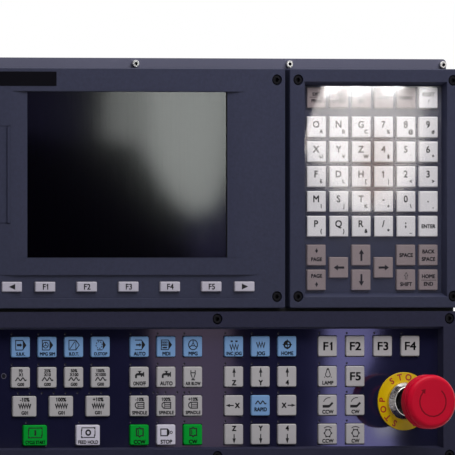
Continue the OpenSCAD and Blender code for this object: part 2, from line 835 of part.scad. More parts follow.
// Flat cable from the operator board, up behind the plate, to the main board's lower socket
module operator_ribbon()
  color([0.6, 0.6, 0.62]) {
    x0 = display_x - 30;
    z1 = operator_z + 20;
    z2 = upper_z - 50;
    y1 = face_y + 24;
    y2 = face_y + main_board_y - 6;
    translate([x0, y1, z1 - 1]) cube([20, 1, z2 - z1 + 1.5]);
    translate([x0, y1, z2 - 0.5]) cube([20, y2 - y1, 1]);
  }

// ---- Emergency stop ---------------------------------------------------------------------------

module estop_legend_ring()
  color([0.9, 0.75, 0.05])
    at_stop()
      difference() {
        cylinder(h = ring_t, r = ring_r, $fn = 96);
        translate([0, 0, -1]) cylinder(h = ring_t + 2, r = barrel_r + 0.2);
      }

// Turned body: dished collar in front of the ring, barrel through the panel
module estop_body()
  color([0.8, 0.8, 0.82])
    at_stop()
      rotate_extrude()
        polygon([
          [stem_outer_r + running, -22], [barrel_r, -22], [barrel_r, ring_t], [collar_r, ring_t],
          [collar_r, ring_t + 3], [collar_r - 3, ring_t + 8.6], [collar_r - 3.8, ring_t + 8.6],
          [stem_outer_r + 0.8, ring_t + 5.5], [stem_outer_r + running, ring_t + 5.5]
        ]);

module estop_nut()
  color([0.25, 0.25, 0.26])
    at_stop()
      translate([0, 0, operator_pocket_d - bezel_t - 4])
        difference() {
          cylinder(h = 4, r = nut_across / sqrt(3), $fn = 6);
          translate([0, 0, -1]) cylinder(h = 6, r = barrel_r);
        }

module estop_contact_block()
  color([0.15, 0.15, 0.16])
    at_stop()
      difference() {
        translate([-15, -15, -50]) cube([30, 30, 30]);
        translate([0, 0, -22]) cylinder(h = 10, r = barrel_r);
        translate([0, 0, -38]) cylinder(h = 30, r = 4);
      }

module estop_plunger()
  color([0.07, 0.07, 0.08])
    at_stop() {
      translate([0, 0, -14]) cylinder(h = 44, r = stem_outer_r);
      translate([0, 0, -32]) cylinder(h = 24, r = 3);
      translate([0, 0, 29]) cylinder(h = 13, r = spigot_r);
    }

// Mushroom head: hollow below its rim, with a socket for the plunger's spigot
module estop_head()
  color([0.75, 0.05, 0.18])
    at_stop()
      difference() {
        rotate_extrude($fn = 96) {
          translate([0, head_z - 14]) square([head_r - 8, 14]);
          translate([0, head_z - 6]) square([head_r - 3, 13]);
          translate([0, head_z - 3]) square([head_r, 6]);
          translate([head_r - 3, head_z - 3]) circle(r = 3);
          translate([0, head_z + 3]) square([head_r - 4, 6]);
          translate([head_r - 4, head_z + 5]) circle(r = 4, $fn = 64);
        }
        translate([0, 0, head_z - 15]) cylinder(h = 15 + running, r = spigot_r + running);
        translate([0, 0, head_z - 15])
          cylinder(h = 3 + running, r = stem_outer_r + slide_gap);
      }

// ---- Nodes ------------------------------------------------------------------------------------

soft_names = ["left", "f1", "f2", "f3", "f4", "f5", "right"];
edit_names = [
  "page_up_key", "page_down_key", "cursor_left_key", "cursor_up_key", "cursor_down_key",
  "cursor_right_key", "space_key", "shift_key", "back_space_key", "home_end_key"
];
edit_tint = [0.58, 0.54, 0.54];
white_tint = [0.88, 0.86, 0.86];
green_tint = [0.02, 0.58, 0.22];

mounting_plate();
plate_screws();
unit_screws();
unit_gaskets();
display_bezel();
display_glass();
lcd_module();
nameplate();
interface_module();
door_hinge_pin();
card_door();
softkey_board();
main_board();
display_rear_cover();
display_cover_back();
fan_frame();
fan_rotor();
keypad_bezel();
keypad_key_plate();
keypad_film();
keypad_board();
keypad_rear_cover();
keypad_ribbon();
operator_bezel();
operator_overlay();
operator_key_mat();
operator_board();
operator_rear_cover();
operator_cover_back();
operator_ribbon();
estop_legend_ring();
estop_body();
estop_nut();
estop_contact_block();
estop_plunger();
estop_head();
for (i = [0:6])
  soft_key(i);
for (i = [0:9])
  pad_key(i, edit_tint);
pad_key(10, white_tint);  // reset_key
pad_key(11, white_tint);  // enter_key
panel_key_node(0, green_tint);  // cycle_start_key
panel_key_node(1, white_tint);  // feed_hold_key
panel_key_node(2, green_tint);  // spindle_ccw_key
panel_key_node(3, white_tint);  // spindle_stop_key
panel_key_node(4, green_tint);  // spindle_cw_key
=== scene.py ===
"""The dressed model of a machine tool's control panel.

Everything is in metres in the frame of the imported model: X runs to the right along the panel,
Z up, the front faces -Y, and the origin is the centre of the mounting plate's back face.
"""

import math

import bmesh
import bpy
from mathutils import Matrix, Vector, noise


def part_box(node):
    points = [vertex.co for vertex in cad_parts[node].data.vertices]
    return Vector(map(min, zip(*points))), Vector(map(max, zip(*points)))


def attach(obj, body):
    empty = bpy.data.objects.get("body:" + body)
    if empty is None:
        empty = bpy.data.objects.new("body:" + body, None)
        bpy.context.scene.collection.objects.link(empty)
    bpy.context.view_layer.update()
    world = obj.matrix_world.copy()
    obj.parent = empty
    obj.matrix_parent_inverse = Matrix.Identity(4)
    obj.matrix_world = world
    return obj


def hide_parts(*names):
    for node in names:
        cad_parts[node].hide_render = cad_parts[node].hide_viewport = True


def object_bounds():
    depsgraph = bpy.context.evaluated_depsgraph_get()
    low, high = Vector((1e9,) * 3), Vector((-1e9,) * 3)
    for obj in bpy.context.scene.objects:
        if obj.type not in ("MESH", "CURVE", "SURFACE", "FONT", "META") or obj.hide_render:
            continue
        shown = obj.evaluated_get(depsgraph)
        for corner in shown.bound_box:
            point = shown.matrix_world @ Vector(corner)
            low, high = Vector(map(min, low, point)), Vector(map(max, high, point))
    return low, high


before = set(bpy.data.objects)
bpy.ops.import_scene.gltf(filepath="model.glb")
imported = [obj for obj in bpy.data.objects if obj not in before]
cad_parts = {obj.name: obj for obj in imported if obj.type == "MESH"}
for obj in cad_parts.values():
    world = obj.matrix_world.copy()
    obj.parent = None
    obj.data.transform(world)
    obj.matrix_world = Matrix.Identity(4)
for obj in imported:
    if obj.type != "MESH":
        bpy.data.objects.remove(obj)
cad_box = [list(corner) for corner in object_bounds()]
mm = 0.001
scene = bpy.context.scene


# ---- Camera and studio ---------------------------------------------------------------------
# A long lens looks level at the panel from its left side, so that the front looks a little
# narrowed and every raised part shows its left flank.
front_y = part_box("display_bezel")[0].y
sight_turn = math.radians(25.2)
sight_back = Vector((-math.sin(sight_turn), -math.cos(sight_turn), 0))
picture_centre = Vector((8.2 * mm, front_y, 28.8 * mm))
picture_height = 341.3 * mm
lens_mm = 1500
sensor_mm = 36

camera_data = bpy.data.cameras.new("camera")
camera_data.lens = lens_mm
camera_data.sensor_width = sensor_mm
camera_data.clip_end = 100
camera = bpy.data.objects.new("camera", camera_data)
camera.location = picture_centre + sight_back * (picture_height * lens_mm / sensor_mm)
camera.rotation_euler = (-sight_back).to_track_quat("-Z", "Y").to_euler()
scene.collection.objects.link(camera)
scene.camera = camera
scene.view_settings.view_transform = "Standard"


def seen_rays(nodes, wires):
    """A socket that is 1 for the rays of the camera, of gloss and of clear parts, else 0."""
    path = nodes.new("ShaderNodeLightPath")
    either = path.outputs["Is Camera Ray"]
    for kind in ("Is Glossy Ray", "Is Transmission Ray"):
        most = nodes.new("ShaderNodeMath")
        most.operation = "MAXIMUM"
        wires.new(either, most.inputs[0])
        wires.new(path.outputs[kind], most.inputs[1])
        either = most.outputs[0]
    return either


# White surroundings, which light the panel at a plain level
world = bpy.data.worlds.new("studio")
scene.world = world
world.use_nodes = True
sky = world.node_tree.nodes
links = world.node_tree.links
sky["Background"].inputs["Color"].default_value = (0.93, 0.95, 1.0, 1)
sky["Background"].inputs["Strength"].default_value = 0.24
seen = sky.new("ShaderNodeBackground")
seen.inputs["Color"].default_value = (1, 1, 1, 1)
seen.inputs["Strength"].default_value = 1.0
blend = sky.new("ShaderNodeMixShader")
links.new(seen_rays(sky, links), blend.inputs[0])
links.new(sky["Background"].outputs[0], blend.inputs[1])
links.new(seen.outputs[0], blend.inputs[2])
links.new(blend.outputs[0], sky["World Output"].inputs["Surface"])


def softbox(name, place, target, size, watts):
    """A rectangular lamp that faces a target."""
    data = bpy.data.lights.new(name, "AREA")
    data.shape = "RECTANGLE"
    data.size, data.size_y = size
    data.energy = watts
    lamp = bpy.data.objects.new(name, data)
    lamp.location = place
    lamp.rotation_euler = (Vector(target) - Vector(place)).to_track_quat("-Z", "Y").to_euler()
    lamp.visible_camera = False
    scene.collection.objects.link(lamp)


softbox("top_light", place=(0.15, -0.45, 0.74), target=(0, 0, 0.04), size=(0.9, 0.45), watts=9)
softbox("back_light", place=(-0.9, 1.3, 1.2), target=(0, 0, 0), size=(1.2, 1.2), watts=12)


def pane(name, outline, radiance, colour=(1, 1, 1), far=0.9):
    """A pane that only gloss shows; the outline is where the front mirrors it, in millimetres."""
    corners = []
    for x, z in outline:
        spot = Vector((x * mm, front_y, z * mm))
        away = (spot - camera.location).normalized()
        away.y = -away.y
        corners.append(spot + away * far)
    mesh = bpy.data.meshes.new(name)
    mesh.from_pydata(corners, [], [range(len(corners))])
    glow = bpy.data.materials.new(name)
    glow.use_nodes = True
    shader = glow.node_tree.nodes["Principled BSDF"]
    shader.inputs["Base Color"].default_value = (0, 0, 0, 1)
    shader.inputs["Specular IOR Level"].default_value = 0
    shader.inputs["Emission Color"].default_value = (*colour, 1)
    shader.inputs["Emission Strength"].default_value = radiance
    mesh.materials.append(glow)
    made = bpy.data.objects.new(name, mesh)
    for ray in ("camera", "diffuse", "transmission", "volume_scatter", "shadow"):
        setattr(made, "visible_" + ray, False)
    scene.collection.objects.link(made)


# A dark room, and its windows and lamps as the screen, the film and the glossy sheet mirror them
grey_green, violet = (0.95, 1.0, 0.96), (0.46, 0.44, 1.0)
pane("dark_room", ((-900, -700), (1000, -700), (1000, 700), (-900, 700)), 0, far=1.0)
pane("window_left", (
    (-93, 97), (-84, 94), (-66, 91), (-56, 85), (-56, 170), (-87, 170)
), 4.3, grey_green)
pane("window_right", (
    (-55, 80), (-46, 66), (-37, 53), (-25, 42), (-11, 38), (1, 46), (13, 72), (24, 170), (-56, 170)
), 7.6, grey_green)
pane("window_low", ((-27, 52), (14, 60), (14, 2), (-14, 2), (-22, 24)), 0.8, violet, 0.92)
pane("window_far", ((-166, 170), (-100, 170), (-104, 92), (-166, 100)), 0.3, violet, 0.92)
pane("film_haze", (
    (80, 210), (80, 92), (92, 66), (112, 46), (128, 40), (144, 44), (165, 62), (175, 92), (178, 210)
), 5.6, (1, 0.94, 0.9))
pane("film_glow", (
    (126, 88), (124, 56), (134, 44), (146, 52), (150, 84), (142, 104)
), 2, (1, 0.62, 0.4), 0.89)
pane("film_top", ((86, 132), (164, 133), (168, 143), (80, 143)), 34, far=0.88)
pane("panel_patch", (
    (97, -36), (140, -36), (139, -55), (136, -71), (129, -82), (122, -93), (118, -104), (121, -112),
    (133, -117), (150, -121), (158, -150), (95, -150), (96, -90)
), 5, violet)
pane("panel_glare", ((132, -110), (150, -116), (156, -126), (140, -130)), 6, (0.8, 0.8, 1.0), 0.89)
pane("panel_middle", (
    (-50, -20), (15, -20), (20, -75), (17, -100), (24, -140), (-38, -140), (-43, -95), (-48, -70)
), 1.15, (0.95, 0.72, 1.0))

# A floor just below the panel, which throws back less light than it shows
floor_z = cad_box[0][2] - 0.5 * mm
bpy.ops.mesh.primitive_plane_add(size=8, location=(0, 0, floor_z))
floor = bpy.context.object
floor.name = "floor"
floor_paint = bpy.data.materials.new("floor_paint")
floor_paint.use_nodes = True
nodes, wires = floor_paint.node_tree.nodes, floor_paint.node_tree.links
floor_shader = nodes["Principled BSDF"]
floor_sight = nodes.new("ShaderNodeLightPath")
floor_tone = nodes.new("ShaderNodeMix")
floor_tone.data_type = "RGBA"
floor_tone.inputs[6].default_value = (0.86, 0.86, 0.87, 1)
floor_tone.inputs[7].default_value = (0.3, 0.3, 0.32, 1)
wires.new(floor_sight.outputs["Is Diffuse Ray"], floor_tone.inputs[0])
wires.new(floor_tone.outputs[2], floor_shader.inputs["Base Color"])
wires.new(seen_rays(nodes, wires), floor_shader.inputs["Emission Strength"])
floor_shader.inputs["Emission Color"].default_value = (0.22, 0.22, 0.23, 1)
floor_shader.inputs["Roughness"].default_value = 0.7
floor_shader.inputs["Specular IOR Level"].default_value = 0
floor.data.materials.append(floor_paint)


# ---- Finishes and pieces -------------------------------------------------------------------
# Every finish has a fine grain, and its tone and gloss vary a little. Every piece is a mesh,
# mostly with eased edges, which wears its finishes and rides on a body.
def linear_light(colour):
    """A colour given as a screen shows it, from 0 to 255, as linear light."""
    return [((c / 255 + 0.055) / 1.055) ** 2.4 if c > 10 else c / 255 / 12.92 for c in colour]


def build_variation():
    """A shader group: fine grain for bump, and broad patches for tone and gloss."""
    tree = bpy.data.node_groups.new("surface_variation", "ShaderNodeTree")
    for name, value in (("Grain Scale", 900), ("Patch Scale", 20), ("Stretch", 1)):
        tree.interface.new_socket(
            name=name, in_out="INPUT", socket_type="NodeSocketFloat"
        ).default_value = value
    for name in ("Height", "Patches"):
        tree.interface.new_socket(name=name, in_out="OUTPUT", socket_type="NodeSocketFloat")
    nodes, wires = tree.nodes, tree.links
    given, result = nodes.new("NodeGroupInput"), nodes.new("NodeGroupOutput")
    spot = nodes.new("ShaderNodeTexCoord")
    long_way = nodes.new("ShaderNodeCombineXYZ")
    long_way.inputs["Y"].default_value = 1
    long_way.inputs["Z"].default_value = 1
    wires.new(given.outputs["Stretch"], long_way.inputs["X"])
    stretched = nodes.new("ShaderNodeVectorMath")
    stretched.operation = "MULTIPLY"
    wires.new(spot.outputs["Object"], stretched.inputs[0])
    wires.new(long_way.outputs[0], stretched.inputs[1])
    grain = nodes.new("ShaderNodeTexNoise")
    grain.inputs["Detail"].default_value = 2
    wires.new(stretched.outputs[0], grain.inputs["Vector"])
    wires.new(given.outputs["Grain Scale"], grain.inputs["Scale"])
    patches = nodes.new("ShaderNodeTexNoise")
    patches.inputs["Detail"].default_value = 5
    patches.inputs["Roughness"].default_value = 0.62
    wires.new(stretched.outputs[0], patches.inputs["Vector"])
    wires.new(given.outputs["Patch Scale"], patches.inputs["Scale"])
    wires.new(grain.outputs["Fac"], result.inputs["Height"])
    wires.new(patches.outputs["Fac"], result.inputs["Patches"])
    return tree


variation = build_variation()


def finish(name, colour, rough, grain=900, bump=0.1, patch=20, tone=0.08, swing=0.1, stretch=1,
           specular=0.5, **constants):
    """A material whose tone, gloss and surface vary; constants are plain shader settings."""
    colour = linear_light(colour)
    made = bpy.data.materials.new(name)
    made.use_nodes = True
    nodes, wires = made.node_tree.nodes, made.node_tree.links
    shader = nodes["Principled BSDF"]
    vary = nodes.new("ShaderNodeGroup")
    vary.node_tree = variation
    vary.inputs["Grain Scale"].default_value = grain
    vary.inputs["Patch Scale"].default_value = patch
    vary.inputs["Stretch"].default_value = stretch
    shade = nodes.new("ShaderNodeMix")
    shade.data_type = "RGBA"
    shade.inputs[6].default_value = (*[c * (1 - tone) for c in colour], 1)
    shade.inputs[7].default_value = (*[min(1, c * (1 + tone)) for c in colour], 1)
    gloss = nodes.new("ShaderNodeMapRange")
    gloss.inputs["To Min"].default_value = max(0.02, rough - swing)
    gloss.inputs["To Max"].default_value = min(1, rough + swing)
    relief = nodes.new("ShaderNodeBump")
    relief.inputs["Strength"].default_value = bump
    relief.inputs["Distance"].default_value = 0.1 * mm
    wires.new(vary.outputs["Patches"], shade.inputs[0])
    wires.new(vary.outputs["Patches"], gloss.inputs["Value"])
    wires.new(vary.outputs["Height"], relief.inputs["Height"])
    wires.new(shade.outputs[2], shader.inputs["Base Color"])
    wires.new(gloss.outputs["Result"], shader.inputs["Roughness"])
    wires.new(relief.outputs["Normal"], shader.inputs["Normal"])
    shader.inputs["Specular IOR Level"].default_value = specular
    for setting, value in constants.items():
        shader.inputs[setting].default_value = value
    return made


def welded(node):
    """A closed mesh of a CAD part with whole faces in place of its loose triangles."""
    shape = bmesh.new()
    shape.from_mesh(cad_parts[node].data)
    bmesh.ops.remove_doubles(shape, verts=shape.verts, dist=0.002 * mm)
    bmesh.ops.dissolve_limit(
        shape, angle_limit=math.radians(0.4), verts=shape.verts[:], edges=shape.edges[:]
    )
    return shape


def ease(shape, width, rim=0.0):
    """Rounds a mesh's hard edges, and the outline of its front by the rim where one is given."""
    hard, level, aside = math.radians(28), 0.01 * mm, 1.6 * mm

    def corner(edge):
        return len(edge.link_faces) == 2 and edge.calc_face_angle() > hard

    def bevel(edges, offset, segments):
        bmesh.ops.bevel(
            shape, geom=edges, offset=offset, offset_type="OFFSET", segments=segments,
            profile=0.5, affect="EDGES", clamp_overlap=True
        )

    if rim:
        front = min(v.co.y for v in shape.verts)
        xs, zs = [v.co.x for v in shape.verts], [v.co.z for v in shape.verts]
        sides = ((0, min(xs)), (0, max(xs)), (2, min(zs)), (2, max(zs)))
        outline = [
            edge for edge in shape.edges
            if corner(edge) and all(abs(v.co.y - front) < level for v in edge.verts)
            and any(all(abs(v.co[axis] - side) < aside for v in edge.verts) for axis, side in sides)
        ]
        bevel(outline, rim, 4)
    bevel([edge for edge in shape.edges if corner(edge)], width, 2)
    return shape


def place_piece(name, mesh, body, slot, *stands_for, sharp=40, even=False):
    """Makes a mesh a smooth piece of a body; its edges past the sharp angle stay sharp."""
    for face in mesh.polygons:
        face.use_smooth = True
    mesh.set_sharp_from_angle(angle=math.radians(sharp))
    made = bpy.data.objects.new(name, mesh)
    scene.collection.objects.link(made)
    if even:
        made.modifiers.new("even_faces", "WEIGHTED_NORMAL").keep_sharp = True
    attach(made, body)
    if stands_for:
        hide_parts(*stands_for)


def piece(name, shape, materials, body, slot, *stands_for):
    """Turns a shape into a finished piece with flat faces and smooth edges."""
    mesh = bpy.data.meshes.new(name)
    shape.to_mesh(mesh)
    shape.free()
    for material in materials:
        mesh.materials.append(material)
    place_piece(name, mesh, body, slot, *stands_for, sharp=50, even=True)


def recoat(material, *nodes):
    """Dresses CAD parts that need no piece of their own."""
    for node in nodes:
        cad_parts[node].data.materials.clear()
        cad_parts[node].data.materials.append(material)


# ---- Mounting plate and gaskets ------------------------------------------------------------
# The plate is 3 mm steel sheet, laser cut and powder coated in a grey violet. Three black
# rubber gaskets lie between it and the units.
plate_coat = finish(
    "plate_coat", (86, 86, 105), 0.45, grain=1500, bump=0.25, patch=9, tone=0.16, specular=0.3
)
rubber = finish("gasket_black", (26, 26, 27), 0.8, grain=2200, bump=0.3)
piece("plate", ease(welded("mounting_plate"), 0.2 * mm), [plate_coat], "panel", "plate_paint",
      "mounting_plate")
recoat(rubber, "unit_gaskets")

# A black strip fills the gaps between the three units: painted shade, dark as the deep grooves are in
# shadow
display, keypad, operator = (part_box(unit + "_bezel") for unit in ("display", "keypad", "operator"))
plate_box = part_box("mounting_plate")
shade_strips = bmesh.new()
for left, right, low, high in (
        (display[0].x, plate_box[1].x, operator[1].z, display[0].z),
        (display[1].x, keypad[0].x, display[0].z, display[1].z)):
    block = Matrix.Translation(((left + right) / 2, plate_box[0].y - 1.0 * mm, (low + high) / 2))
    size = Matrix.Diagonal((right - left, 2 * mm, high - low, 1))
    bmesh.ops.create_cube(shade_strips, size=1, matrix=block @ size)
piece("gap_shade_strip", shade_strips, [rubber], "panel", "gasket_rubber")


# ---- Bezels --------------------------------------------------------------------------------
# Three moulded frames in dark blue grey with a fine leathery grain. Their edges are rounded
# where the mould parts, and each is screwed down through counterbored corners.
bezel_plastic = finish(
    "bezel_plastic", (46, 48, 68), 0.5, grain=1300, bump=0.7, patch=420, tone=0.3, swing=0.06,
    specular=0.2
)
# A darker copy of the frames' plastic for the lowest frame: painted shade, as the lower frame gets less
# light.
bezel_plastic_shaded = finish(
    "bezel_plastic_shaded", (33, 33, 54), 0.5, grain=1300, bump=0.7, patch=420, tone=0.3, swing=0.06,
    specular=0.18
)


def paint_lip_shade(shape, pane_low, pane_high):
    """Gives the walls in front of a pane the second material, black: painted shade in the lip round the
    window.
    """
    shape.normal_update()
    for face in shape.faces:
        spot = face.calc_center_median()
        if (pane_low.x < spot.x < pane_high.x and pane_low.z < spot.z < pane_high.z
                and spot.y < pane_low.y and abs(face.normal.y) < 0.9):
            face.material_index = 1


for unit, plastic in (
        ("display", bezel_plastic), ("keypad", bezel_plastic), ("operator", bezel_plastic_shaded)):
    frame_shape = ease(welded(unit + "_bezel"), 0.3 * mm, 0.9 * mm)
    if unit == "display":
        # The display frame's walls round the screen are painted black: painted shade.
        paint_lip_shade(frame_shape, *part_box("display_glass"))
    piece(unit + "_frame", frame_shape, [plastic, rubber], "panel", "bezel_plastic",
          unit + "_bezel")


# ---- Screws --------------------------------------------------------------------------------
# Socket-head screws: nickel-plated M3 ones hold the plate and the rear covers, black M4 ones
# hold the units. Each has a knurled head, a hex socket and a rolled thread.
def build_screw_tree():
    """Puts a screw on every point; the point's 'turned' value is its half turns about X."""
    tree = bpy.data.node_groups.new("socket_screws", "GeometryNodeTree")
    tree.interface.new_socket(name="Places", in_out="INPUT", socket_type="NodeSocketGeometry")
    sizes = (
        ("Head Radius", 2.75 * mm), ("Head Height", 3 * mm), ("Socket Radius", 1.35 * mm),
        ("Shank Radius", 1.5 * mm), ("Shank Length", 8 * mm), ("Neck Length", 0.0),
        ("Pitch", 0.5 * mm)
    )
    for name, value in sizes:
        tree.interface.new_socket(
            name=name, in_out="INPUT", socket_type="NodeSocketFloat"
        ).default_value = value
    for name in ("Finish", "Socket Shade Finish"):
        tree.interface.new_socket(name=name, in_out="INPUT", socket_type="NodeSocketMaterial")
    tree.interface.new_socket(name="Screws", in_out="OUTPUT", socket_type="NodeSocketGeometry")
    nodes, wires = tree.nodes, tree.links
    given, result = nodes.new("NodeGroupInput"), nodes.new("NodeGroupOutput")

    def calc(operation, first, second=0.0):
        node = nodes.new("ShaderNodeMath")
        node.operation = operation
        for socket, value in zip(node.inputs, (first, second)):
            if isinstance(value, (int, float)):
                socket.default_value = value
            else:
                wires.new(value, socket)
        return node.outputs[0]

    def scaled(size, factor):
        return calc("MULTIPLY", given.outputs[size], factor)

    def cylinder(sides, radius, depth):
        node = nodes.new("GeometryNodeMeshCylinder")
        node.inputs["Vertices"].default_value = sides
        wires.new(radius, node.inputs["Radius"])
        wires.new(depth, node.inputs["Depth"])
        return node.outputs["Mesh"]

    def carve(operation):
        node = nodes.new("GeometryNodeMeshBoolean")
        node.operation = operation
        node.solver = "EXACT"
        return node

    def lift(mesh, height):
        node = nodes.new("GeometryNodeTransform")
        offset = nodes.new("ShaderNodeCombineXYZ")
        wires.new(height, offset.inputs["Z"])
        wires.new(mesh, node.inputs["Geometry"])
        wires.new(offset.outputs[0], node.inputs["Translation"])
        return node.outputs[0]

    # The head stands above z = 0. Every second line of its side is drawn in: the knurl.
    half_head = scaled("Head Height", 0.5)
    head = cylinder(48, given.outputs["Head Radius"], given.outputs["Head Height"])
    drawn_in = nodes.new("GeometryNodeSetPosition")
    number = nodes.new("GeometryNodeInputIndex")
    odd = calc("FLOORED_MODULO", number.outputs[0], 2)
    shrink = calc("SUBTRACT", 1.0, calc("MULTIPLY", odd, 0.035))
    here = nodes.new("GeometryNodeInputPosition")
    squeeze = nodes.new("ShaderNodeCombineXYZ")
    wires.new(shrink, squeeze.inputs["X"])
    wires.new(shrink, squeeze.inputs["Y"])
    squeeze.inputs["Z"].default_value = 1
    moved = nodes.new("ShaderNodeVectorMath")
    moved.operation = "MULTIPLY"
    wires.new(here.outputs[0], moved.inputs[0])
    wires.new(squeeze.outputs[0], moved.inputs[1])
    wires.new(head, drawn_in.inputs["Geometry"])
    wires.new(moved.outputs[0], drawn_in.inputs["Position"])
    # A cone trims the head's upper edge
    cone = nodes.new("GeometryNodeMeshCone")
    cone.inputs["Vertices"].default_value = 48
    wires.new(scaled("Head Radius", 0.86), cone.inputs["Radius Top"])
    wires.new(scaled("Head Radius", 2.3), cone.inputs["Radius Bottom"])
    wires.new(scaled("Head Radius", 1.44), cone.inputs["Depth"])
    cone_at = calc("SUBTRACT", given.outputs["Head Height"], scaled("Head Radius", 1.44))
    trimmed = carve("INTERSECT")
    wires.new(lift(drawn_in.outputs[0], half_head), trimmed.inputs["Mesh 2"])
    wires.new(lift(cone.outputs["Mesh"], cone_at), trimmed.inputs["Mesh 2"])
    socket_depth = scaled("Head Height", 1.1)
    hexagon = lift(cylinder(6, given.outputs["Socket Radius"], socket_depth),
                   given.outputs["Head Height"])
    sunk = carve("DIFFERENCE")
    wires.new(trimmed.outputs["Mesh"], sunk.inputs["Mesh 1"])
    wires.new(hexagon, sunk.inputs["Mesh 2"])

    def coat(geometry, material, chosen=None):
        node = nodes.new("GeometryNodeSetMaterial")
        wires.new(geometry, node.inputs["Geometry"])
        wires.new(given.outputs[material], node.inputs["Material"])
        if chosen is not None:
            wires.new(chosen, node.inputs["Selection"])
        return node.outputs["Geometry"]

    # The socket's own faces lie inside its radius and between the head's two ends; they get the socket
    # finish, black: painted shade in the socket's hollow
    spot = nodes.new("ShaderNodeSeparateXYZ")
    wires.new(here.outputs[0], spot.inputs[0])
    reach = calc("SQRT", calc("ADD", calc("POWER", calc("ABSOLUTE", spot.outputs["X"]), 2),
                              calc("POWER", calc("ABSOLUTE", spot.outputs["Y"]), 2)))
    inside = calc("LESS_THAN", reach, scaled("Socket Radius", 1.1))
    above = calc("GREATER_THAN", spot.outputs["Z"], scaled("Head Height", 0.1))
    below = calc("LESS_THAN", spot.outputs["Z"], scaled("Head Height", 0.97))
    socket_shade = calc("MULTIPLY", inside, calc("MULTIPLY", above, below))
    head = coat(coat(sunk.outputs["Mesh"], "Finish"), "Socket Shade Finish", socket_shade)

    # Neck, core and thread below the head
    core_radius = scaled("Shank Radius", 0.84)
    core = lift(cylinder(20, core_radius, given.outputs["Shank Length"]),
                scaled("Shank Length", -0.5))
    thread_length = calc("SUBTRACT", given.outputs["Shank Length"], given.outputs["Neck Length"])
    thread_length = calc("SUBTRACT", thread_length, given.outputs["Pitch"])
    spiral = nodes.new("GeometryNodeCurveSpiral")
    spiral.inputs["Resolution"].default_value = 14
    wires.new(calc("DIVIDE", thread_length, given.outputs["Pitch"]), spiral.inputs["Rotations"])
    thread_radius = scaled("Shank Radius", 0.86)
    wires.new(thread_radius, spiral.inputs["Start Radius"])
    wires.new(thread_radius, spiral.inputs["End Radius"])
    wires.new(thread_length, spiral.inputs["Height"])
    ridge = nodes.new("GeometryNodeCurvePrimitiveCircle")
    ridge.inputs["Resolution"].default_value = 4
    wires.new(scaled("Shank Radius", 0.13), ridge.inputs["Radius"])
    thread = nodes.new("GeometryNodeCurveToMesh")
    wires.new(spiral.outputs[0], thread.inputs["Curve"])
    wires.new(ridge.outputs[0], thread.inputs["Profile Curve"])
    thread.inputs["Fill Caps"].default_value = True
    thread_low = calc("SUBTRACT", scaled("Pitch", 0.5), given.outputs["Shank Length"])
    whole = nodes.new("GeometryNodeJoinGeometry")
    for part in (head, coat(core, "Finish"), coat(lift(thread.outputs[0], thread_low), "Finish")):
        wires.new(part, whole.inputs[0])

    turned = nodes.new("GeometryNodeInputNamedAttribute")
    turned.data_type = "FLOAT"
    turned.inputs["Name"].default_value = "turned"
    angle = nodes.new("ShaderNodeCombineXYZ")
    wires.new(calc("MULTIPLY", turned.outputs["Attribute"], math.pi), angle.inputs["X"])
    placed = nodes.new("GeometryNodeInstanceOnPoints")
    wires.new(given.outputs["Places"], placed.inputs["Points"])
    wires.new(whole.outputs[0], placed.inputs["Instance"])
    wires.new(angle.outputs[0], placed.inputs["Rotation"])
    real = nodes.new("GeometryNodeRealizeInstances")
    wires.new(placed.outputs[0], real.inputs[0])
    wires.new(real.outputs[0], result.inputs["Screws"])
    return tree


def islands(node):
    """The lowest and highest corner and the head's mean Y of each solid in a CAD part."""
    shape = welded(node)
    found, seen = [], set()
    for start in shape.verts:
        if start in seen:
            continue
        group, stack = [], [start]
        seen.add(start)
        while stack:
            vert = stack.pop()
            group.append(vert)
            for edge in vert.link_edges:
                other = edge.other_vert(vert)
                if other not in seen:
                    seen.add(other)
                    stack.append(other)
        low = Vector([min(v.co[i] for v in group) for i in range(3)])
        high = Vector([max(v.co[i] for v in group) for i in range(3)])
        middle, reach = (low.x + high.x) / 2, 0.45 * (high.x - low.x)
        widest = [v.co.y for v in group if abs(v.co.x - middle) > reach]
        found.append((low, high, sum(widest) / len(widest)))
    shape.free()
    return found


def run_tree(name, tree, mesh, settings):
    """The plain mesh that a Geometry Nodes tree makes of a base mesh."""
    holder = bpy.data.objects.new(name, mesh)
    scene.collection.objects.link(holder)
    modifier = holder.modifiers.new("made", "NODES")
    modifier.node_group = tree
    for socket in tree.interface.items_tree:
        if socket.in_out == "INPUT" and socket.name in settings:
            modifier[socket.identifier] = settings[socket.name]
    graph = bpy.context.evaluated_depsgraph_get()
    made = bpy.data.meshes.new_from_object(holder.evaluated_get(graph))
    bpy.data.objects.remove(holder)
    return made


screw_tree = build_screw_tree()


def fit_screws(name, solids, material, head_height, socket_radius, pitch, neck=0.0):
    """A mesh of screws where the CAD part has its plain ones."""
    shank_to_head = 0.56
    places, turned = [], []
    for low, high, head_y in solids:
        faces_front = head_y < (low.y + high.y) / 2
        under_head = low.y + head_height if faces_front else high.y - head_height
        places.append(((low.x + high.x) / 2, under_head, (low.z + high.z) / 2))
        turned.append(0.5 if faces_front else -0.5)
    points = bpy.data.meshes.new(name + "_places")
    points.from_pydata(places, [], [])
    points.attributes.new("turned", "FLOAT", "POINT").data.foreach_set("value", turned)
    low, high, head_y = solids[0]
    head_radius = (high.x - low.x) / 2
    return run_tree(name, screw_tree, points, {
        "Head Radius": head_radius, "Head Height": head_height, "Socket Radius": socket_radius,
        "Shank Radius": head_radius * shank_to_head, "Shank Length": high.y - low.y - head_height,
        "Neck Length": neck, "Pitch": pitch, "Finish": material, "Socket Shade Finish": black_oxide
    })


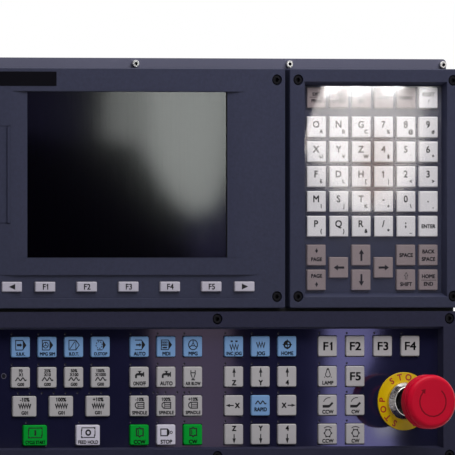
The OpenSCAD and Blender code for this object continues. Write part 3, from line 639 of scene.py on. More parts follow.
nickel = finish(
    "nickel_plate", (180, 179, 180), 0.3, grain=2500, bump=0.05, patch=300, tone=0.15,
    Metallic=1.0
)
black_oxide = finish(
    "black_oxide", (13, 12, 17), 0.45, grain=2500, bump=0.1, patch=300, specular=0.1
)
small = islands("plate_screws")
lip_screws = [solid for solid in small if solid[2] < (solid[0].y + solid[1].y) / 2]
tab_screws = [solid for solid in small if solid not in lip_screws]
# The height of a head, the radius of its socket and the pitch of its thread
m3_head, m4_head = (3 * mm, 1.4 * mm, 0.5 * mm), (4 * mm, 1.75 * mm, 0.7 * mm)
place_piece("lip_screws", fit_screws("lip_screws", lip_screws, nickel, *m3_head, neck=3 * mm),
            "panel", "screw_nickel", "plate_screws")
place_piece("cover_screws", fit_screws("cover_screws", tab_screws, nickel, *m3_head),
            "panel", "screw_nickel", "plate_screws")
place_piece("corner_screws",
            fit_screws("corner_screws", islands("unit_screws"), black_oxide, *m4_head),
            "panel", "screw_black", "unit_screws")


# ---- Screen --------------------------------------------------------------------------------
# A flat panel behind a sheet of anti-glare glass, which is clamped into the dished frame, and
# a blank plate of black acrylic above it.
glass = finish(
    "screen_glass", (2, 1, 7), 0.08, grain=2600, bump=0.005, patch=14, swing=0.01, Alpha=0.8
)
recoat(glass, "display_glass")
screen_black = finish("screen_black", (3, 2, 7), 0.4, grain=3000, bump=0.05, specular=0.02)
recoat(screen_black, "lcd_module")
acrylic = finish("black_acrylic", (6, 5, 12), 0.4, grain=400, bump=0.02, patch=40, specular=0.06)
piece("blank_plate", ease(welded("nameplate"), 0.15 * mm), [acrylic], "panel", "nameplate_black",
      "nameplate")


# ---- Card door and ports -------------------------------------------------------------------
# A thin door of the frame's plastic turns on a steel pin at its left edge and covers a card
# slot and a data port, which share one black block.
piece("card_cover", ease(welded("card_door"), 0.5 * mm), [bezel_plastic], "card_door",
      "bezel_plastic", "card_door")
port_black = finish("port_black", (30, 30, 32), 0.5, grain=1500, bump=0.2)
ground_steel = finish("ground_steel", (190, 190, 194), 0.3, grain=2000, bump=0.05, Metallic=1.0)
piece("port_block", ease(welded("interface_module"), 0.2 * mm), [port_black], "panel",
      "port_plastic", "interface_module")
recoat(ground_steel, "door_hinge_pin")


# ---- Soft keys -----------------------------------------------------------------------------
# Seven pale grey caps stand in a channel under the screen, each with a printed function
# number or an arrow head.
def key_tops(node):
    """The middle (x, z) and half sizes of each key top, row by row, and the front's Y."""
    shape = welded(node)
    front = min(vert.co.y for vert in shape.verts)
    depth, least_side = 0.3 * mm, 5 * mm
    tops = []
    for face in shape.faces:
        if face.normal.y < -0.99 and face.calc_center_bounds().y < front + depth:
            xs, zs = [v.co.x for v in face.verts], [v.co.z for v in face.verts]
            if min(max(xs) - min(xs), max(zs) - min(zs)) > least_side:
                tops.append((
                    (min(xs) + max(xs)) / 2, (min(zs) + max(zs)) / 2,
                    (max(xs) - min(xs)) / 2, (max(zs) - min(zs)) / 2
                ))
    shape.free()
    return sorted(tops, key=lambda top: (-round(top[1] / (3 * mm)), top[0])), front


words_data = bpy.data.curves.new("words", "FONT")
words_data.extrude = 0.5
words_data.resolution_u = 3
words_holder = bpy.data.objects.new("words", words_data)
scene.collection.objects.link(words_holder)


def words_mesh(words, weight=0.0):
    """A flat mesh of words, one unit thick, with its least and greatest X."""
    words_data.body = words
    words_data.offset = weight
    graph = bpy.context.evaluated_depsgraph_get()
    mesh = bpy.data.meshes.new_from_object(words_holder.evaluated_get(graph))
    xs = [v.co.x for v in mesh.vertices]
    return mesh, min(xs), max(xs)


capital = words_mesh("H")[0]
capital_height = max(v.co.y for v in capital.vertices)
bpy.data.meshes.remove(capital)
letter_weld = 0.0005


class Print:
    """Thin raised print on a flat front, drawn in millimetres from a chosen middle."""

    def __init__(self, thick=0.04, bold=1.0):
        self.shape = bmesh.new()
        self.thick = thick * mm
        self.bold = bold
        self.at(0, 0, 0)

    def at(self, x, y, z):
        self.x, self.y, self.z = x, y, z

    def area(self, outline):
        """A filled outline."""
        rings = [
            [self.shape.verts.new((self.x + x * mm, y, self.z + z * mm)) for x, z in outline]
            for y in (self.y - self.thick, self.y + self.thick)
        ]
        self.shape.faces.new(rings[0])
        self.shape.faces.new(rings[1][::-1])
        self.walls(rings[0], rings[1])

    def walls(self, front, back):
        for i in range(len(front)):
            j = (i + 1) % len(front)
            self.shape.faces.new((front[j], front[i], back[i], back[j]))

    def line(self, points, width=0.45, closed=False):
        """A line of even width with mitred corners."""
        count = len(points)
        width *= self.bold
        sides = ([], [])
        for i, here in enumerate(points):
            before = points[i - 1] if closed or i else None
            after = points[(i + 1) % count] if closed or i + 1 < count else None
            ways = [
                (Vector(b) - Vector(a)).normalized()
                for a, b in ((before, here), (here, after)) if a is not None and b is not None
            ]
            across = [Vector((-way.y, way.x)) for way in ways]
            if len(across) == 2:
                turn = max(0.25, 1 + across[0].dot(across[1]))
                shift = (across[0] + across[1]) / turn * width / 2
            else:
                shift = across[0] * width / 2
            sides[0].append(tuple(Vector(here) + shift))
            sides[1].append(tuple(Vector(here) - shift))
        if not closed:
            self.area(sides[0] + sides[1][::-1])
            return
        rings = [
            [
                [self.shape.verts.new((self.x + x * mm, y, self.z + z * mm)) for x, z in side]
                for side in sides
            ]
            for y in (self.y - self.thick, self.y + self.thick)
        ]
        for i in range(count):
            j = (i + 1) % count
            for left, right in rings:
                self.shape.faces.new((left[i], left[j], right[j], right[i]))
        for side in (0, 1):
            self.walls(rings[0][side], rings[1][side])

    def arc(self, x, z, radius, start, end, width=0.45):
        """Part of a circle, between two angles in degrees, or a whole ring."""
        whole = abs(end - start) >= 360
        steps = max(4, round(abs(end - start) / 20))
        angles = [
            math.radians(start + (end - start) * i / steps) for i in range(steps + (not whole))
        ]
        points = [(x + radius * math.cos(a), z + radius * math.sin(a)) for a in angles]
        self.line(points, width, whole)

    def disc(self, x, z, radius):
        angles = [math.tau * i / 12 for i in range(12)]
        self.area([(x + radius * math.cos(a), z + radius * math.sin(a)) for a in angles])

    def box(self, x, z, wide, high, width=0.45):
        """The outline of a box round a middle."""
        self.line([
            (x - wide / 2, z - high / 2), (x + wide / 2, z - high / 2),
            (x + wide / 2, z + high / 2), (x - wide / 2, z + high / 2)
        ], width, True)

    def arrow(self, x, z, turn, length, head=3.4, shaft=1.1, head_length=None):
        """A solid arrow round a middle; it points to the right before its turn in degrees."""
        tip, neck = length / 2, length / 2 - (head_length or head * 0.8)
        outline = [
            (-tip, -shaft / 2), (neck, -shaft / 2), (neck, -head / 2), (tip, 0),
            (neck, head / 2), (neck, shaft / 2), (-tip, shaft / 2)
        ]
        cos, sin = math.cos(math.radians(turn)), math.sin(math.radians(turn))
        self.area([(x + a * cos - b * sin, z + a * sin + b * cos) for a, b in outline])

    def words(self, text, x, z, height, wide=None, weight=0.038, stretch=1.0):
        """Words round a middle; the height is a capital's, and wide is the most they may take."""
        mesh, low, high = words_mesh(text)
        scale = height * mm / capital_height
        squeeze = stretch
        if wide:
            squeeze = min(stretch, wide * mm / ((high - low + 2 * weight) * scale))
        middle = (low + high) / 2
        letters = bmesh.new()
        letters.from_mesh(mesh)
        bmesh.ops.remove_doubles(letters, verts=letters.verts, dist=letter_weld)
        # Four prints, less than a stroke apart, make the strokes bold
        for aside in (-weight, weight):
            for above in (-weight, weight):
                bold = letters.copy()
                for vert in bold.verts:
                    right, up, out = vert.co
                    vert.co = (
                        self.x + x * mm + (right - middle + aside) * scale * squeeze,
                        self.y - out * 2 * self.thick,
                        self.z + z * mm + (up - capital_height / 2 + above) * scale
                    )
                bold.to_mesh(mesh)
                bold.free()
                self.shape.from_mesh(mesh)
        letters.free()
        bpy.data.meshes.remove(mesh)
        # The plain stroke of each figure one gets its flag
        for place in [i for i, letter in enumerate(text) if letter == "1"]:
            so_far, low, high = words_mesh(text[:place + 1])
            bpy.data.meshes.remove(so_far)
            left = x + (high - middle) * scale * squeeze / mm - height * 0.1
            self.area([
                (left, z + height / 2), (left - height * 0.26, z + height * 0.3),
                (left - height * 0.26, z + height * 0.15), (left, z + height * 0.28)
            ])

    def join(self, shape, material_index):
        """Adds the print to a mesh, with its own material."""
        bmesh.ops.recalc_face_normals(self.shape, faces=self.shape.faces)
        for face in self.shape.faces:
            face.material_index = material_index
        mesh = bpy.data.meshes.new("print")
        self.shape.to_mesh(mesh)
        self.shape.free()
        shape.from_mesh(mesh)
        bpy.data.meshes.remove(mesh)


ink = finish("key_ink", (14, 13, 18), 0.5, grain=3000, bump=0.05, tone=0.2, specular=0.2)
soft_cap = finish(
    "soft_cap", (186, 181, 193), 0.42, grain=1800, bump=0.12, patch=90, tone=0.05, specular=0.2
)
soft_marks = {
    "left": -1, "f1": "F1", "f2": "F2", "f3": "F3", "f4": "F4", "f5": "F5", "right": 1
}


def key_cap(node, draw, plastic, slot, rounding=0.4 * mm, bold=1.0):
    """The cap of a key that moves, with its print; returns the middle of its top."""
    ((x, z, half_wide, half_high),), front = key_tops(node)
    pen = Print(bold=bold)
    pen.at(x, front, z)
    draw(pen)
    cap = ease(welded(node), rounding)
    pen.join(cap, 1)
    piece("cap_" + node, cap, [plastic, ink], node, slot, node)
    return x, z


def soft_mark(mark):
    def draw(pen):
        if isinstance(mark, str):
            pen.words(mark, 0, 0, 4.1, weight=0.018)
        else:
            pen.area([(2.7 * mark, 0), (-2.5 * mark, 2.2), (-2.5 * mark, -2.2)])
    return draw


for name, mark in soft_marks.items():
    key_cap("soft_key_" + name, soft_mark(mark), soft_cap, "soft_key_plastic", 0.45 * mm)


# ---- Keypad --------------------------------------------------------------------------------
# Rows of square caps stand on one dark key plate. Most of the white ones carry two characters;
# the grey ones change the page and edit the text.
white_cap = finish(
    "white_cap", (250, 246, 248), 0.4, grain=1800, bump=0.1, patch=90, tone=0.04, specular=0.2
)
grey_cap = finish(
    "grey_cap", (160, 145, 146), 0.4, grain=1800, bump=0.1, patch=90, tone=0.05, specular=0.2
)
key_plate_dark = finish(
    "key_plate_dark", (46, 50, 74), 0.5, grain=1300, bump=0.3, patch=60, specular=0.3
)


def with_caps(node, colour_of):
    """A fused plate and its caps, each cap's faces in the material that its number gets."""
    cap_height, edge = 1.6 * mm, 0.6 * mm
    shape = ease(welded(node), 0.4 * mm)
    tops, front = key_tops(node)
    for face in shape.faces:
        middle = face.calc_center_median()
        face.material_index = 0
        if middle.y > front + cap_height:
            continue
        for number, (x, z, half_wide, half_high) in enumerate(tops):
            if abs(middle.x - x) < half_wide + edge and abs(middle.z - z) < half_high + edge:
                face.material_index = colour_of(number)
                break
    return shape, tops, front


letter_rows = (
    (None,) * 5, ("OA", "NB", "GC", "7%", "8@", "9#"), ("XU", "YV", "ZW", "4$", "5'", "6^"),
    ("FE", "DL", "H[", "1]", "2<", "3>"), ("MI", "SJ", "TK", "-+", "0\\", ".,"),
    ("P(", "Q)", "R&", "/*", ";_")
)
letters = [pair for row in letter_rows for pair in row]
row_words = (("EXIT", "PROG"), ("POS", "OFFSET"), ("EDIT", "SET"), ("ALTER", ""), ("INSERT", ""))
keypad_shape, tops, front = with_caps(
    "keypad_key_plate", lambda number: 2 if number < len(row_words) else 1
)
pen = Print()
for number, ((x, z, half_wide, half_high), pair) in enumerate(zip(tops, letters)):
    pen.at(x, front, z)
    if pair:
        pen.words(pair[0], -0.5, 1.95, 4.9, weight=0.02)
        pen.words(pair[1], 3.7, -3.5, 2.7)
        continue
    upper, lower = row_words[number]
    pen.words(upper, 0, 2.6 if lower else 0, 2.3, 11.5)
    if lower:
        pen.line([(-6, 0.3), (6, 0.3)], 0.4)
        pen.words(lower, 0, -2.4, 2.3, 11.5)
pen.join(keypad_shape, 3)
piece("letter_keys", keypad_shape, [key_plate_dark, white_cap, grey_cap, ink], "panel",
      "letter_key", "keypad_key_plate")

edit_marks = {
    "page_up_key": "PAGE", "page_down_key": "PAGE", "cursor_left_key": 180,
    "cursor_right_key": 0, "cursor_up_key": 90, "cursor_down_key": -90, "space_key": "SPACE",
    "shift_key": "SHIFT", "back_space_key": "BACK", "home_end_key": "HOME",
    "reset_key": "RESET", "enter_key": "ENTER"
}


def edit_mark(node, mark):
    def draw(pen):
        if isinstance(mark, int):
            pen.arrow(0, 0, mark, 8.8, 4.4, 1.6)
        elif mark == "PAGE":
            side = 1 if node == "page_up_key" else -1
            top = 3.3 * side
            pen.words(mark, 0, -3.1 * side, 2.6, 10.4)
            pen.area([(0, top + 1.9), (-1.2, top), (0, top - 1.9), (1.2, top)])
        elif mark == "SHIFT":
            pen.words(mark, 0, -3.2, 2.7, 10.6)
            pen.line([
                (0, 5.5), (-1.5, 3.2), (-0.7, 3.2), (-0.7, 0.6), (0.7, 0.6), (0.7, 3.2), (1.5, 3.2)
            ], 0.35, True)
        elif mark in ("BACK", "HOME"):
            pen.words(mark, 0, 2.7, 2.7, 11.4)
            pen.words("SPACE" if mark == "BACK" else "END", 0, -3.0, 2.7, 11.8)
            if mark == "HOME":
                pen.line([(-6.2, -0.2), (6.2, -0.2)], 0.35)
        elif mark == "RESET":
            pen.words(mark, 0, 2.7, 2.6, 11.6)
            pen.line([(-0.5, -3.4), (0.6, -1.2)], 0.5)
        else:
            pen.words(mark, 0, 0, 2.7, 11.6)
    return draw


for node, mark in edit_marks.items():
    pale = mark in ("RESET", "ENTER")
    key_cap(node, edit_mark(node, mark), white_cap if pale else grey_cap,
            "white_key" if pale else "edit_key")

# The clear protective film is a little wavy and has lifted at its upper left corner
film_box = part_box("keypad_film")
film = bmesh.new()
across, down = 58, 78
film_wide, film_high = film_box[1].x - film_box[0].x, film_box[1].z - film_box[0].z
film_thick, film_seat, most_lift = 0.08 * mm, 0.1 * mm, 1.6 * mm


def film_lift(u, v):
    """How far the film stands off the keys, from its left edge (0 to 1) and its foot (0 to 1)."""
    waves = noise.noise(Vector((u * 2.1, v * 2.6, 3.1)))
    waves += 0.45 * noise.noise(Vector((u * 5, v * 7, 0.7)))
    ripple = 0.03 * math.sin(u * 27 + 2 * math.sin(v * 9)) * max(0, v - 0.86) / 0.14
    corner = max(0, 1 - (u / 0.16) - (1 - v) / 0.34)
    return (0.16 + 0.025 * waves + ripple + 1.1 * corner ** 1.4) * mm


grid = [
    [
        film.verts.new((
            film_box[0].x + film_wide * i / across,
            film_box[0].y + film_seat - film_lift(i / across, j / down),
            film_box[0].z + film_high * j / down
        ))
        for i in range(across + 1)
    ]
    for j in range(down + 1)
]
for j in range(down):
    for i in range(across):
        film.faces.new((grid[j][i], grid[j][i + 1], grid[j + 1][i + 1], grid[j + 1][i]))
for vert in film.verts:
    vert.co.y = max(vert.co.y, film_box[0].y - most_lift)
thick = bmesh.ops.extrude_face_region(film, geom=film.faces[:])
for item in thick["geom"]:
    if isinstance(item, bmesh.types.BMVert):
        item.co.y += film_thick
bmesh.ops.recalc_face_normals(film, faces=film.faces)
clear_film = finish(
    "clear_film", (84, 82, 96), 0.07, grain=300, bump=0.0, patch=30, tone=0.1, swing=0.02,
    Alpha=0.1, IOR=4.0
)
piece("film_sheet", film, [clear_film], "panel", "clear_film", "keypad_film")


# ---- Operator panel ------------------------------------------------------------------------
# A glossy navy sheet covers the panel and the keys of one moulded mat stand in its windows.
# Most keys have a small dark lamp at their upper left, and two rows of lamps show the overrides.
overlay_gloss = finish(
    "overlay_gloss", (27, 27, 52), 0.055, grain=500, bump=0.01, patch=26, tone=0.2, swing=0.01
)
lamp_dark = finish("lamp_dark", (5, 5, 14), 0.3, grain=900, bump=0.0, specular=0.2)
lamp_rim_and_glint = finish("lamp_rim_and_glint", (112, 108, 122), 0.4, grain=900, bump=0.0, specular=0.2)
mat_dark = finish("mat_dark", (14, 14, 26), 0.6, grain=900, bump=0.1, specular=0.1)
mat_grey = finish(
    "mat_grey", (180, 176, 177), 0.45, grain=1600, bump=0.1, patch=80, tone=0.05, specular=0.2
)
mat_blue = finish(
    "mat_blue", (120, 158, 203), 0.45, grain=1600, bump=0.1, patch=80, tone=0.06, specular=0.2
)
switch_white = finish(
    "switch_white", (214, 209, 222), 0.42, grain=1600, bump=0.1, patch=80, tone=0.04, specular=0.2
)
switch_green = finish(
    "switch_green", (0, 158, 50), 0.45, grain=1600, bump=0.1, patch=80, tone=0.06, specular=0.06
)


def program(pen, solid=True, left=-4.2, closed=True):
    """A sheet of a program that points to the right, round (0, 1.4)."""
    low, high, tip = -2.2, 5.0, 4.3
    pen.line([(left, low), (1.5, low), (tip, 1.4), (1.5, high), (left, high)], 0.45, closed)
    if solid:
        pen.area([(1.7, low), (tip, 1.4), (1.7, high)])


def wave(pen, x, z, wide, high):
    """A flat wave of two crests."""
    pen.line([
        (x + wide * (i / 16 - 0.5), z + high / 2 * math.sin(math.tau * (2.25 * i / 16 - 0.3)))
        for i in range(17)
    ], 0.6)


def zigzag(pen, x, z, wide, high, teeth, width=0.6):
    """A row of teeth that lean to the right."""
    points = []
    for tooth in range(teeth):
        foot = x + wide * (tooth / teeth - 0.5)
        points += [(foot, z + high / 2), (foot + wide / teeth * 0.55, z - high / 2)]
    points.append((x + wide / 2, z + high / 2))
    pen.line(points, width)


def s_b_k(pen):
    program(pen)
    pen.area([(-3.2, 0.7), (-0.6, 0.7), (-0.6, 0.1), (1.2, 1.5), (-0.6, 2.9), (-0.6, 2.3), (-3.2, 2.3)])
    pen.words("S.B.K.", 0, -5.2, 2.2, 9)


def mpg_sim(pen):
    program(pen)
    pen.arc(-1.5, 1.4, 2.2, 0, 360, 0.4)
    for turn in (90, 210, 330):
        turn = math.radians(turn)
        pen.line([(-1.5, 1.4), (-1.5 + 2.0 * math.cos(turn), 1.4 + 2.0 * math.sin(turn))], 0.4)
    pen.words("MPG SIM", 0, -5.2, 2.3, 13)


def b_d_t(pen):
    program(pen, False)
    pen.line([(1.5, -2.2), (1.5, 5.0)], 0.4)
    pen.line([(-3.4, -1.4), (0.7, 4.2)], 0.4)
    pen.words("B.D.T.", 0, -5.2, 2.2, 9)


def o_stop(pen):
    pen.area([(1.7, -2.2), (4.3, 1.4), (1.7, 5.0)])
    pen.line([(-3, 5), (1.5, 5)], 0.45)
    pen.line([(-3, -2.2), (1.5, -2.2)], 0.45)
    for start in range(0, 360, 45):
        pen.arc(-1.3, 1.4, 2.5, start, start + 26, 0.45)
    pen.words("O.STOP", 0, -5.2, 2.2, 11.6)


def auto_mode(pen):
    program(pen, left=-3.8, closed=False)
    pen.arrow(-0.7, 1.4, 0, 4.6, 2.8, 1.2, 1.8)
    pen.words("AUTO", 0, -5.2, 2.6, 9.8)


def mdi_mode(pen):
    program(pen)
    for x in (-3, -1.4, 0.2):
        pen.box(x, 3.2, 1, 1, 0.3)
        pen.box(x, 1.3, 1, 1, 0.3)
    pen.line([(-3.2, -0.7), (0.6, -0.7)], 0.8)
    pen.words("MDI", 0, -5.2, 2.6, 9.8)


def mpg_mode(pen):
    pen.arc(0, 1.4, 3.7, 0, 360, 0.5)
    pen.arc(0, 1.4, 0.9, 0, 360, 0.4)
    for turn in (90, 210, 330):
        turn = math.radians(turn)
        pen.line([(math.cos(turn), 1.4 + math.sin(turn)),
                  (3.6 * math.cos(turn), 1.4 + 3.6 * math.sin(turn))], 0.5)
    pen.words("MPG", 0, -5.2, 2.6, 9.8)


def inc_jog(pen):
    pen.area([(-2.9, 3.3), (-1.0, 3.3), (-1.0, 4.5), (-2.9, 4.5)])
    pen.area([(1.0, 3.3), (2.9, 3.3), (2.9, 4.5), (1.0, 4.5)])
    zigzag(pen, 0, -0.4, 7, 3.8, 3)
    pen.words("INC JOG", 0, -5.2, 2.4, 12.6)


def jog_mode(pen):
    zigzag(pen, 0, 1.2, 7, 3.8, 3)
    pen.words("JOG", 0, -5.2, 2.6, 9.8)


def home_mode(pen):
    pen.arc(0, 1.3, 2.6, 0, 360, 0.9)
    pen.line([(-3.9, 1.3), (3.9, 1.3)], 0.5)
    pen.line([(0, -2.2), (0, 5.2)], 0.5)
    pen.area([(0, 1.3), (-2.4, 1.3), (-1.7, 3.0), (0, 3.7)])
    pen.words("HOME", 0, -5.2, 2.5, 10)


def rapid_step(percent, step):
    def draw(pen):
        pen.words(percent, 0, 4.9, 2.2)
        pen.words(step, 0, 2.0, 2.2)
        wave(pen, 0, -1.3, 9.2, 2.2)
        pen.words("G00", 0, -5.2, 2.2)
    return draw


def feed_step(percent):
    def draw(pen):
        pen.words(percent, 0, 5.0, 2.7)
        zigzag(pen, 0, 0.3, 9.8, 3.1, 5, 0.7)
        pen.words("G01", 0, -4.9, 2.4)
    return draw


def tap(label):
    def draw(pen):
        pen.area([
            (-3.8, -0.8), (-2.2, -0.8), (-2.2, 1.2), (0.9, 1.2), (0.9, 0.2), (2.1, 0.2), (2.1, 1.0),
            (2.9, 1.0), (2.9, 0.2), (3.8, 0.2), (3.8, 3.8), (2.9, 3.8), (2.9, 3.0), (0.7, 3.0),
            (0.7, 3.9), (2.2, 4.6), (-2.0, 4.6), (-0.7, 3.9), (-0.7, 3.0), (-2.6, 2.8), (-3.8, 1.6)
        ])
        pen.words(label, 0, -4.8, 2.7, 10.4)
    return draw


def air_blow(pen):
    for side in (-1, 1):
        pen.line([(1.8 * side, 5), (1.8 * side, 2.2), (0.7 * side, -0.6)], 0.5)
        pen.line([(0.5 * side, -1.2), (1.2 * side, -2.6)], 0.5)
    pen.line([(-1.8, 3.1), (1.8, 3.1)], 0.5)
    pen.line([(0, -1.0), (0, -2.7)], 0.5)
    pen.words("AIR BLOW", 0, -5.0, 2.4, 12.6)


def spindle_step(percent):
    def draw(pen):
        pen.words(percent, 0, 4.9, 2.4)
        pen.line([
            (3.6, -1.8), (-2.2, -1.8), (-3.6, -0.4), (-3.6, 1.4), (-2.2, 2.6), (3.6, 2.6)
        ], 0.55, True)
        pen.line([(-1.4, 2.6), (-1.4, -1.8)], 0.4)
        pen.line([(-1.4, 1.0), (3.6, 1.0)], 0.4)
        pen.line([(-1.4, -0.3), (3.6, -0.3)], 0.4)
        pen.words("SPINDLE", 0, -5.1, 2.4, 12.4)
    return draw


def axis_key(letter, turn):
    def draw(pen):
        if turn in (90, -90):
            side = 1 if turn == 90 else -1
            pen.arrow(0, 3.4 * side, turn, 7.2, 2.8, 0.85, 4.0)
            pen.words(letter, 0, -4.5 * side, 3.6)
        else:
            side = 1 if turn == 0 else -1
            pen.arrow(3.6 * side, 0, turn, 6.6, 2.4, 0.85, 3.4)
            pen.words(letter, -2.7 * side, 0, 3.6)
    return draw


def rapid_mode(pen):
    wave(pen, 0, 2.2, 9.2, 2.2)
    pen.words("RAPID", 0, -3, 2.7, 10.4)


def function_key(label):
    return lambda pen: pen.words(label, 0, 0, 5.9, weight=0.022, stretch=1.2)


def lamp_key(pen):
    pen.line([
        (-0.7, 5.2), (-1.2, 3.4), (-2.0, 1.6), (-1.7, 0.2), (0, -0.6), (1.7, 0.2), (2.0, 1.6),
        (1.2, 3.4), (0.7, 5.2)
    ], 0.45, True)
    pen.area([(-0.7, 5.0), (0.7, 5.0), (0.7, 6.2), (-0.7, 6.2)])
    for side in (-1, 1):
        pen.line([(2.4 * side, -0.2), (3.1 * side, -0.9)], 0.4)
    pen.words("LAMP", 0, -4.8, 2.6, 9.4)


def arm_key(label):
    def draw(pen):
        pen.arc(1.0, 0.6, 5.0, 78, 158, 0.4)
        pen.line([(-4.4, -0.9), (1.2, -0.9)], 1.4)
        pen.line([(1.0, -1.0), (4.0, 1.8)], 1.1)
        pen.words(label, 0, -5.0, 2.6)
    return draw


def disc_key(label):
    def draw(pen):
        pen.arc(0, 0.6, 2.6, 0, 360, 0.45)
        for tool in range(6):
            turn = math.tau * tool / 6
            pen.disc(3.1 * math.cos(turn), 0.6 + 3.1 * math.sin(turn), 0.6)
        pen.arc(0, 0.2, 5.3, 52, 128, 0.45)
        pen.words(label, 0, -5.2, 2.6)
    return draw


def dashed_frame(pen, label):
    """The frame round a start or hold sign, with arrow heads that chase each other."""
    def turned(*points):
        return [(x * side, z * side + 1.9) for x, z in points]

    for side in (-1, 1):
        pen.line(turned((-5.2, 1.4), (-5.2, 3.6), (3.8, 3.6)), 0.5)
        pen.area(turned((3.6, 4.1), (5.9, 4.1), (5.9, 2.0)))
        pen.line(turned((5.6, 1.8), (5.6, -2.4)), 0.5)
    pen.words(label, 0, -5.2, 2.4, 16.4)


def cycle_start(pen):
    dashed_frame(pen, "CYCLE START")
    pen.line([(0, -0.2), (0, 4.0)], 1.1)


def feed_hold(pen):
    dashed_frame(pen, "FEED HOLD")
    pen.arc(0, 1.9, 1.8, 0, 360, 0.9)


def spindle_turn(label):
    def draw(pen):
        pen.line([
            (-2.6, 4.6), (-2.6, -0.6), (-1.0, -0.6), (0, -1.6), (1.0, -0.6), (2.9, -0.6), (2.9, 4.6),
            (1.0, 4.6), (0, 5.4), (-1.0, 4.6)
        ], 0.7, True)
        pen.line([(-1.1, 3.8), (-1.1, 0.2)], 0.5)
        pen.words(label, 0, -5.2, 2.7)
    return draw


def spindle_stop(pen):
    pen.box(-1.9, 1.8, 5.4, 5.0, 0.6)
    pen.area([(1.1, -0.9), (2.6, 0.4), (2.6, 3.2), (1.1, 4.6)])
    pen.arc(4.0, 1.8, 0.9, 0, 360, 0.4)
    pen.words("STOP", 0, -5.2, 2.7)


panel_marks = [
    s_b_k, mpg_sim, b_d_t, o_stop, auto_mode, mdi_mode, mpg_mode, inc_jog, jog_mode, home_mode,
    function_key("F1"), function_key("F2"), function_key("F3"), function_key("F4"),
    rapid_step("F0", "X1"), rapid_step("25%", "X10"), rapid_step("50%", "X100"),
    rapid_step("100%", "X1000"), tap("ON/OFF"), tap("AUTO"), air_blow,
    axis_key("Z", 90), axis_key("Y", 90), axis_key("4", 90), lamp_key, function_key("F5"),
    feed_step("-10%"), feed_step("100%"), feed_step("+10%"),
    spindle_step("-10%"), spindle_step("100%"), spindle_step("+10%"),
    axis_key("X", 180), rapid_mode, axis_key("X", 0), arm_key("CCW"), arm_key("CW"),
    axis_key("Z", -90), axis_key("Y", -90), axis_key("4", -90), disc_key("CCW"), disc_key("CW")
]
blue_marks = (*range(10), panel_marks.index(rapid_mode))
mat_shape, mat_tops, mat_front = with_caps(
    "operator_key_mat", lambda number: 2 if number in blue_marks else 1
)
assert len(mat_tops) == len(panel_marks), "the mat's keys and their marks don't match"
pen = Print(bold=1.45)
for (x, z, half_wide, half_high), draw in zip(mat_tops, panel_marks):
    pen.at(x, mat_front, z)
    draw(pen)
pen.join(mat_shape, 3)
piece("panel_keys", mat_shape, [mat_dark, mat_grey, mat_blue, ink], "panel", "panel_key_plastic",
      "operator_key_mat")

switches = {
    "cycle_start_key": (cycle_start, switch_green), "feed_hold_key": (feed_hold, switch_white),
    "spindle_ccw_key": (spindle_turn("CCW"), switch_green),
    "spindle_stop_key": (spindle_stop, switch_white),
    "spindle_cw_key": (spindle_turn("CW"), switch_green)
}
# Every key but the three wide ones has a lamp
most_half_wide = 8.5 * mm
lamp_keys = [(x, z) for x, z, half_wide, half_high in mat_tops if half_wide < most_half_wide]
for node, (draw, plastic) in switches.items():
    slot = "green_key" if plastic is switch_green else "white_key"
    lamp_keys.append(key_cap(node, draw, plastic, slot, bold=1.4))

overlay_shape = ease(welded("operator_overlay"), 0.12 * mm)
overlay_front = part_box("operator_overlay")[0].y
lamps = [(x - 6.5 * mm, z + 9.9 * mm) for x, z in lamp_keys]
lamp_row_z, lamp_pitch = -94.7 * mm, 9.8 * mm
for middle_x, count in ((-126.8 * mm, 8), (-39.7 * mm, 5)):
    lamps += [(middle_x + lamp_pitch * (i - (count - 1) / 2), lamp_row_z) for i in range(count)]
# Each small lamp is a dark pit over a pale disc set to its lower left, whose edge shows as a crescent:
# a painted glint. The large lamp has a pale rim all round.
rims_and_glints, pits = Print(0.03), Print(0.05)
for x, z in lamps:
    rims_and_glints.at(x - 0.3 * mm, overlay_front, z - 0.4 * mm)
    rims_and_glints.disc(0, 0, 0.62)
    pits.at(x, overlay_front, z)
    pits.disc(0, 0, 0.8)
# A larger one stands alone at the left end
for prints in (rims_and_glints, pits):
    prints.at(-172.9 * mm, overlay_front, -82.1 * mm)
rims_and_glints.arc(0, 0, 1.9, 0, 360, 0.3)
pits.disc(0, 0, 1.4)
rims_and_glints.join(overlay_shape, 1)
pits.join(overlay_shape, 2)
piece("panel_sheet", overlay_shape, [overlay_gloss, lamp_rim_and_glint, lamp_dark], "panel", "overlay_gloss",
      "operator_overlay")


# ---- Emergency stop ------------------------------------------------------------------------
# A red mushroom head on a black stem, which latches when it is pushed and lets go when it is
# twisted. A chromed collar clamps it and its yellow ring to the panel.
chrome = finish(
    "collar_chrome", (214, 210, 204), 0.12, grain=600, bump=0.02, patch=40, swing=0.05,
    Metallic=1.0
)
stem_black = finish("stem_black", (22, 20, 24), 0.35, grain=900, bump=0.05)
ring_yellow = finish(
    "ring_yellow", (222, 182, 4), 0.3, grain=700, bump=0.05, patch=60, tone=0.06, specular=0.25
)
ring_letters = finish("ring_letters", (166, 28, 22), 0.4, grain=900, bump=0.05)
head_red = finish(
    "head_red", (206, 6, 44), 0.38, grain=700, bump=0.08, patch=30, tone=0.07, specular=0.12
)
head_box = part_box("estop_head")
stop_x = (head_box[0].x + head_box[1].x) / 2
stop_z = (head_box[0].z + head_box[1].z) / 2
ring_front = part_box("estop_legend_ring")[0].y

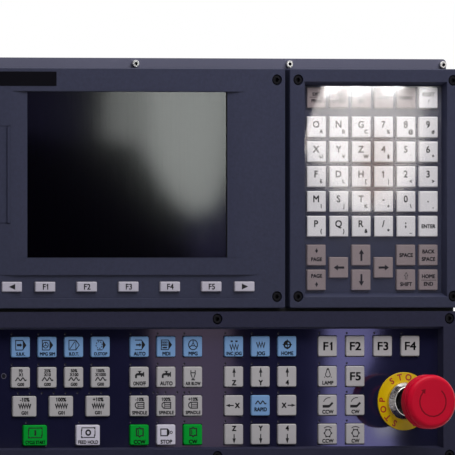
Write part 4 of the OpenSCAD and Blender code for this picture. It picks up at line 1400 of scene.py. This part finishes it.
# The ring says STOP three times; every letter stands on its own radius
ring_shape = ease(welded("estop_legend_ring"), 0.25 * mm)
letter_step, letter_radius = 22.6, 18.4 * mm
scale = 4.5 * mm / capital_height
pen = Print()
for start in (90, 210, 330):
    for number, letter in enumerate("STOP"):
        turn = math.radians(start + 34 - number * letter_step)
        mesh, low, high = words_mesh(letter, 0.03)
        middle = (low + high) / 2
        letter_shape = bmesh.new()
        letter_shape.from_mesh(mesh)
        bmesh.ops.remove_doubles(letter_shape, verts=letter_shape.verts, dist=letter_weld)
        for vert in letter_shape.verts:
            right, up, out = vert.co
            right, up = (right - middle) * scale, (up - capital_height / 2) * scale + letter_radius
            vert.co = (
                stop_x + up * math.cos(turn) + right * math.sin(turn),
                ring_front - out * 0.08 * mm,
                stop_z + up * math.sin(turn) - right * math.cos(turn)
            )
        letter_shape.to_mesh(mesh)
        letter_shape.free()
        pen.shape.from_mesh(mesh)
        bpy.data.meshes.remove(mesh)
pen.join(ring_shape, 1)
piece("stop_ring", ring_shape, [ring_yellow, ring_letters], "panel", "ring_yellow",
      "estop_legend_ring")
piece("stop_collar", ease(welded("estop_body"), 0.35 * mm), [chrome], "panel", "collar_chrome",
      "estop_body")
piece("stop_stem", ease(welded("estop_plunger"), 0.3 * mm), [stem_black], "estop_plunger",
      "stem_black", "estop_plunger")

head_shape = ease(welded("estop_head"), 0.5 * mm)
# The underside is painted black: painted shade, so that the head's reflection in the glossy sheet stays
# dark like its unlit rear
head_shape.normal_update()
for face in head_shape.faces:
    if face.normal.y > 0.6:
        face.material_index = 2
# The raised arrow on the head is printed darker red: painted shade for the shading of its relief.
pen = Print(0.03)
pen.at(stop_x, head_box[0].y + 0.01 * mm, stop_z)
pen.arc(0, 0, 11, -222, 50, 1.1)
pen.area([(-6.1, 9.7), (-9.9, 8.9), (-6.5, 5.8)])
pen.join(head_shape, 1)
head_arrow_shade = finish("head_arrow_shade", (132, 4, 26), 0.5, grain=700, bump=0.05, specular=0.12)
piece("stop_head", head_shape, [head_red, head_arrow_shade, stem_black], "estop_head", "head_red",
      "estop_head")
recoat(chrome, "estop_nut")
recoat(port_black, "estop_contact_block")
bpy.data.objects.remove(words_holder)


# ---- Rear covers, fan and boards -----------------------------------------------------------
# Boxes of folded zinc-coated sheet steel cover the electronics behind the plate. The largest
# one has a fan, and ribbon cables join the boards.
zinc = finish(
    "zinc_sheet", (150, 152, 156), 0.42, grain=1400, bump=0.1, patch=55, tone=0.14, swing=0.12,
    Metallic=0.9
)
for node, name in (
        ("display_rear_cover", "display_walls"), ("display_cover_back", "display_back"),
        ("keypad_rear_cover", "keypad_cover"), ("operator_rear_cover", "operator_walls"),
        ("operator_cover_back", "operator_back")):
    piece(name, ease(welded(node), 0.3 * mm), [zinc], "panel", "cover_steel", node)
fan_black = finish("fan_black", (30, 30, 33), 0.45, grain=1000, bump=0.15)
piece("fan_housing", ease(welded("fan_frame"), 0.3 * mm), [fan_black], "panel", "fan_plastic",
      "fan_frame")
piece("fan_blades", ease(welded("fan_rotor"), 0.2 * mm), [fan_black], "fan_rotor", "fan_plastic",
      "fan_rotor")
board_green = finish("board_green", (22, 78, 48), 0.4, grain=900, bump=0.1, patch=120, tone=0.25)
ribbon_grey = finish("ribbon_grey", (150, 150, 156), 0.5, grain=900, bump=0.2, patch=30, stretch=12)
recoat(board_green, "softkey_board", "main_board", "keypad_board", "operator_board")
recoat(ribbon_grey, "keypad_ribbon", "operator_ribbon")
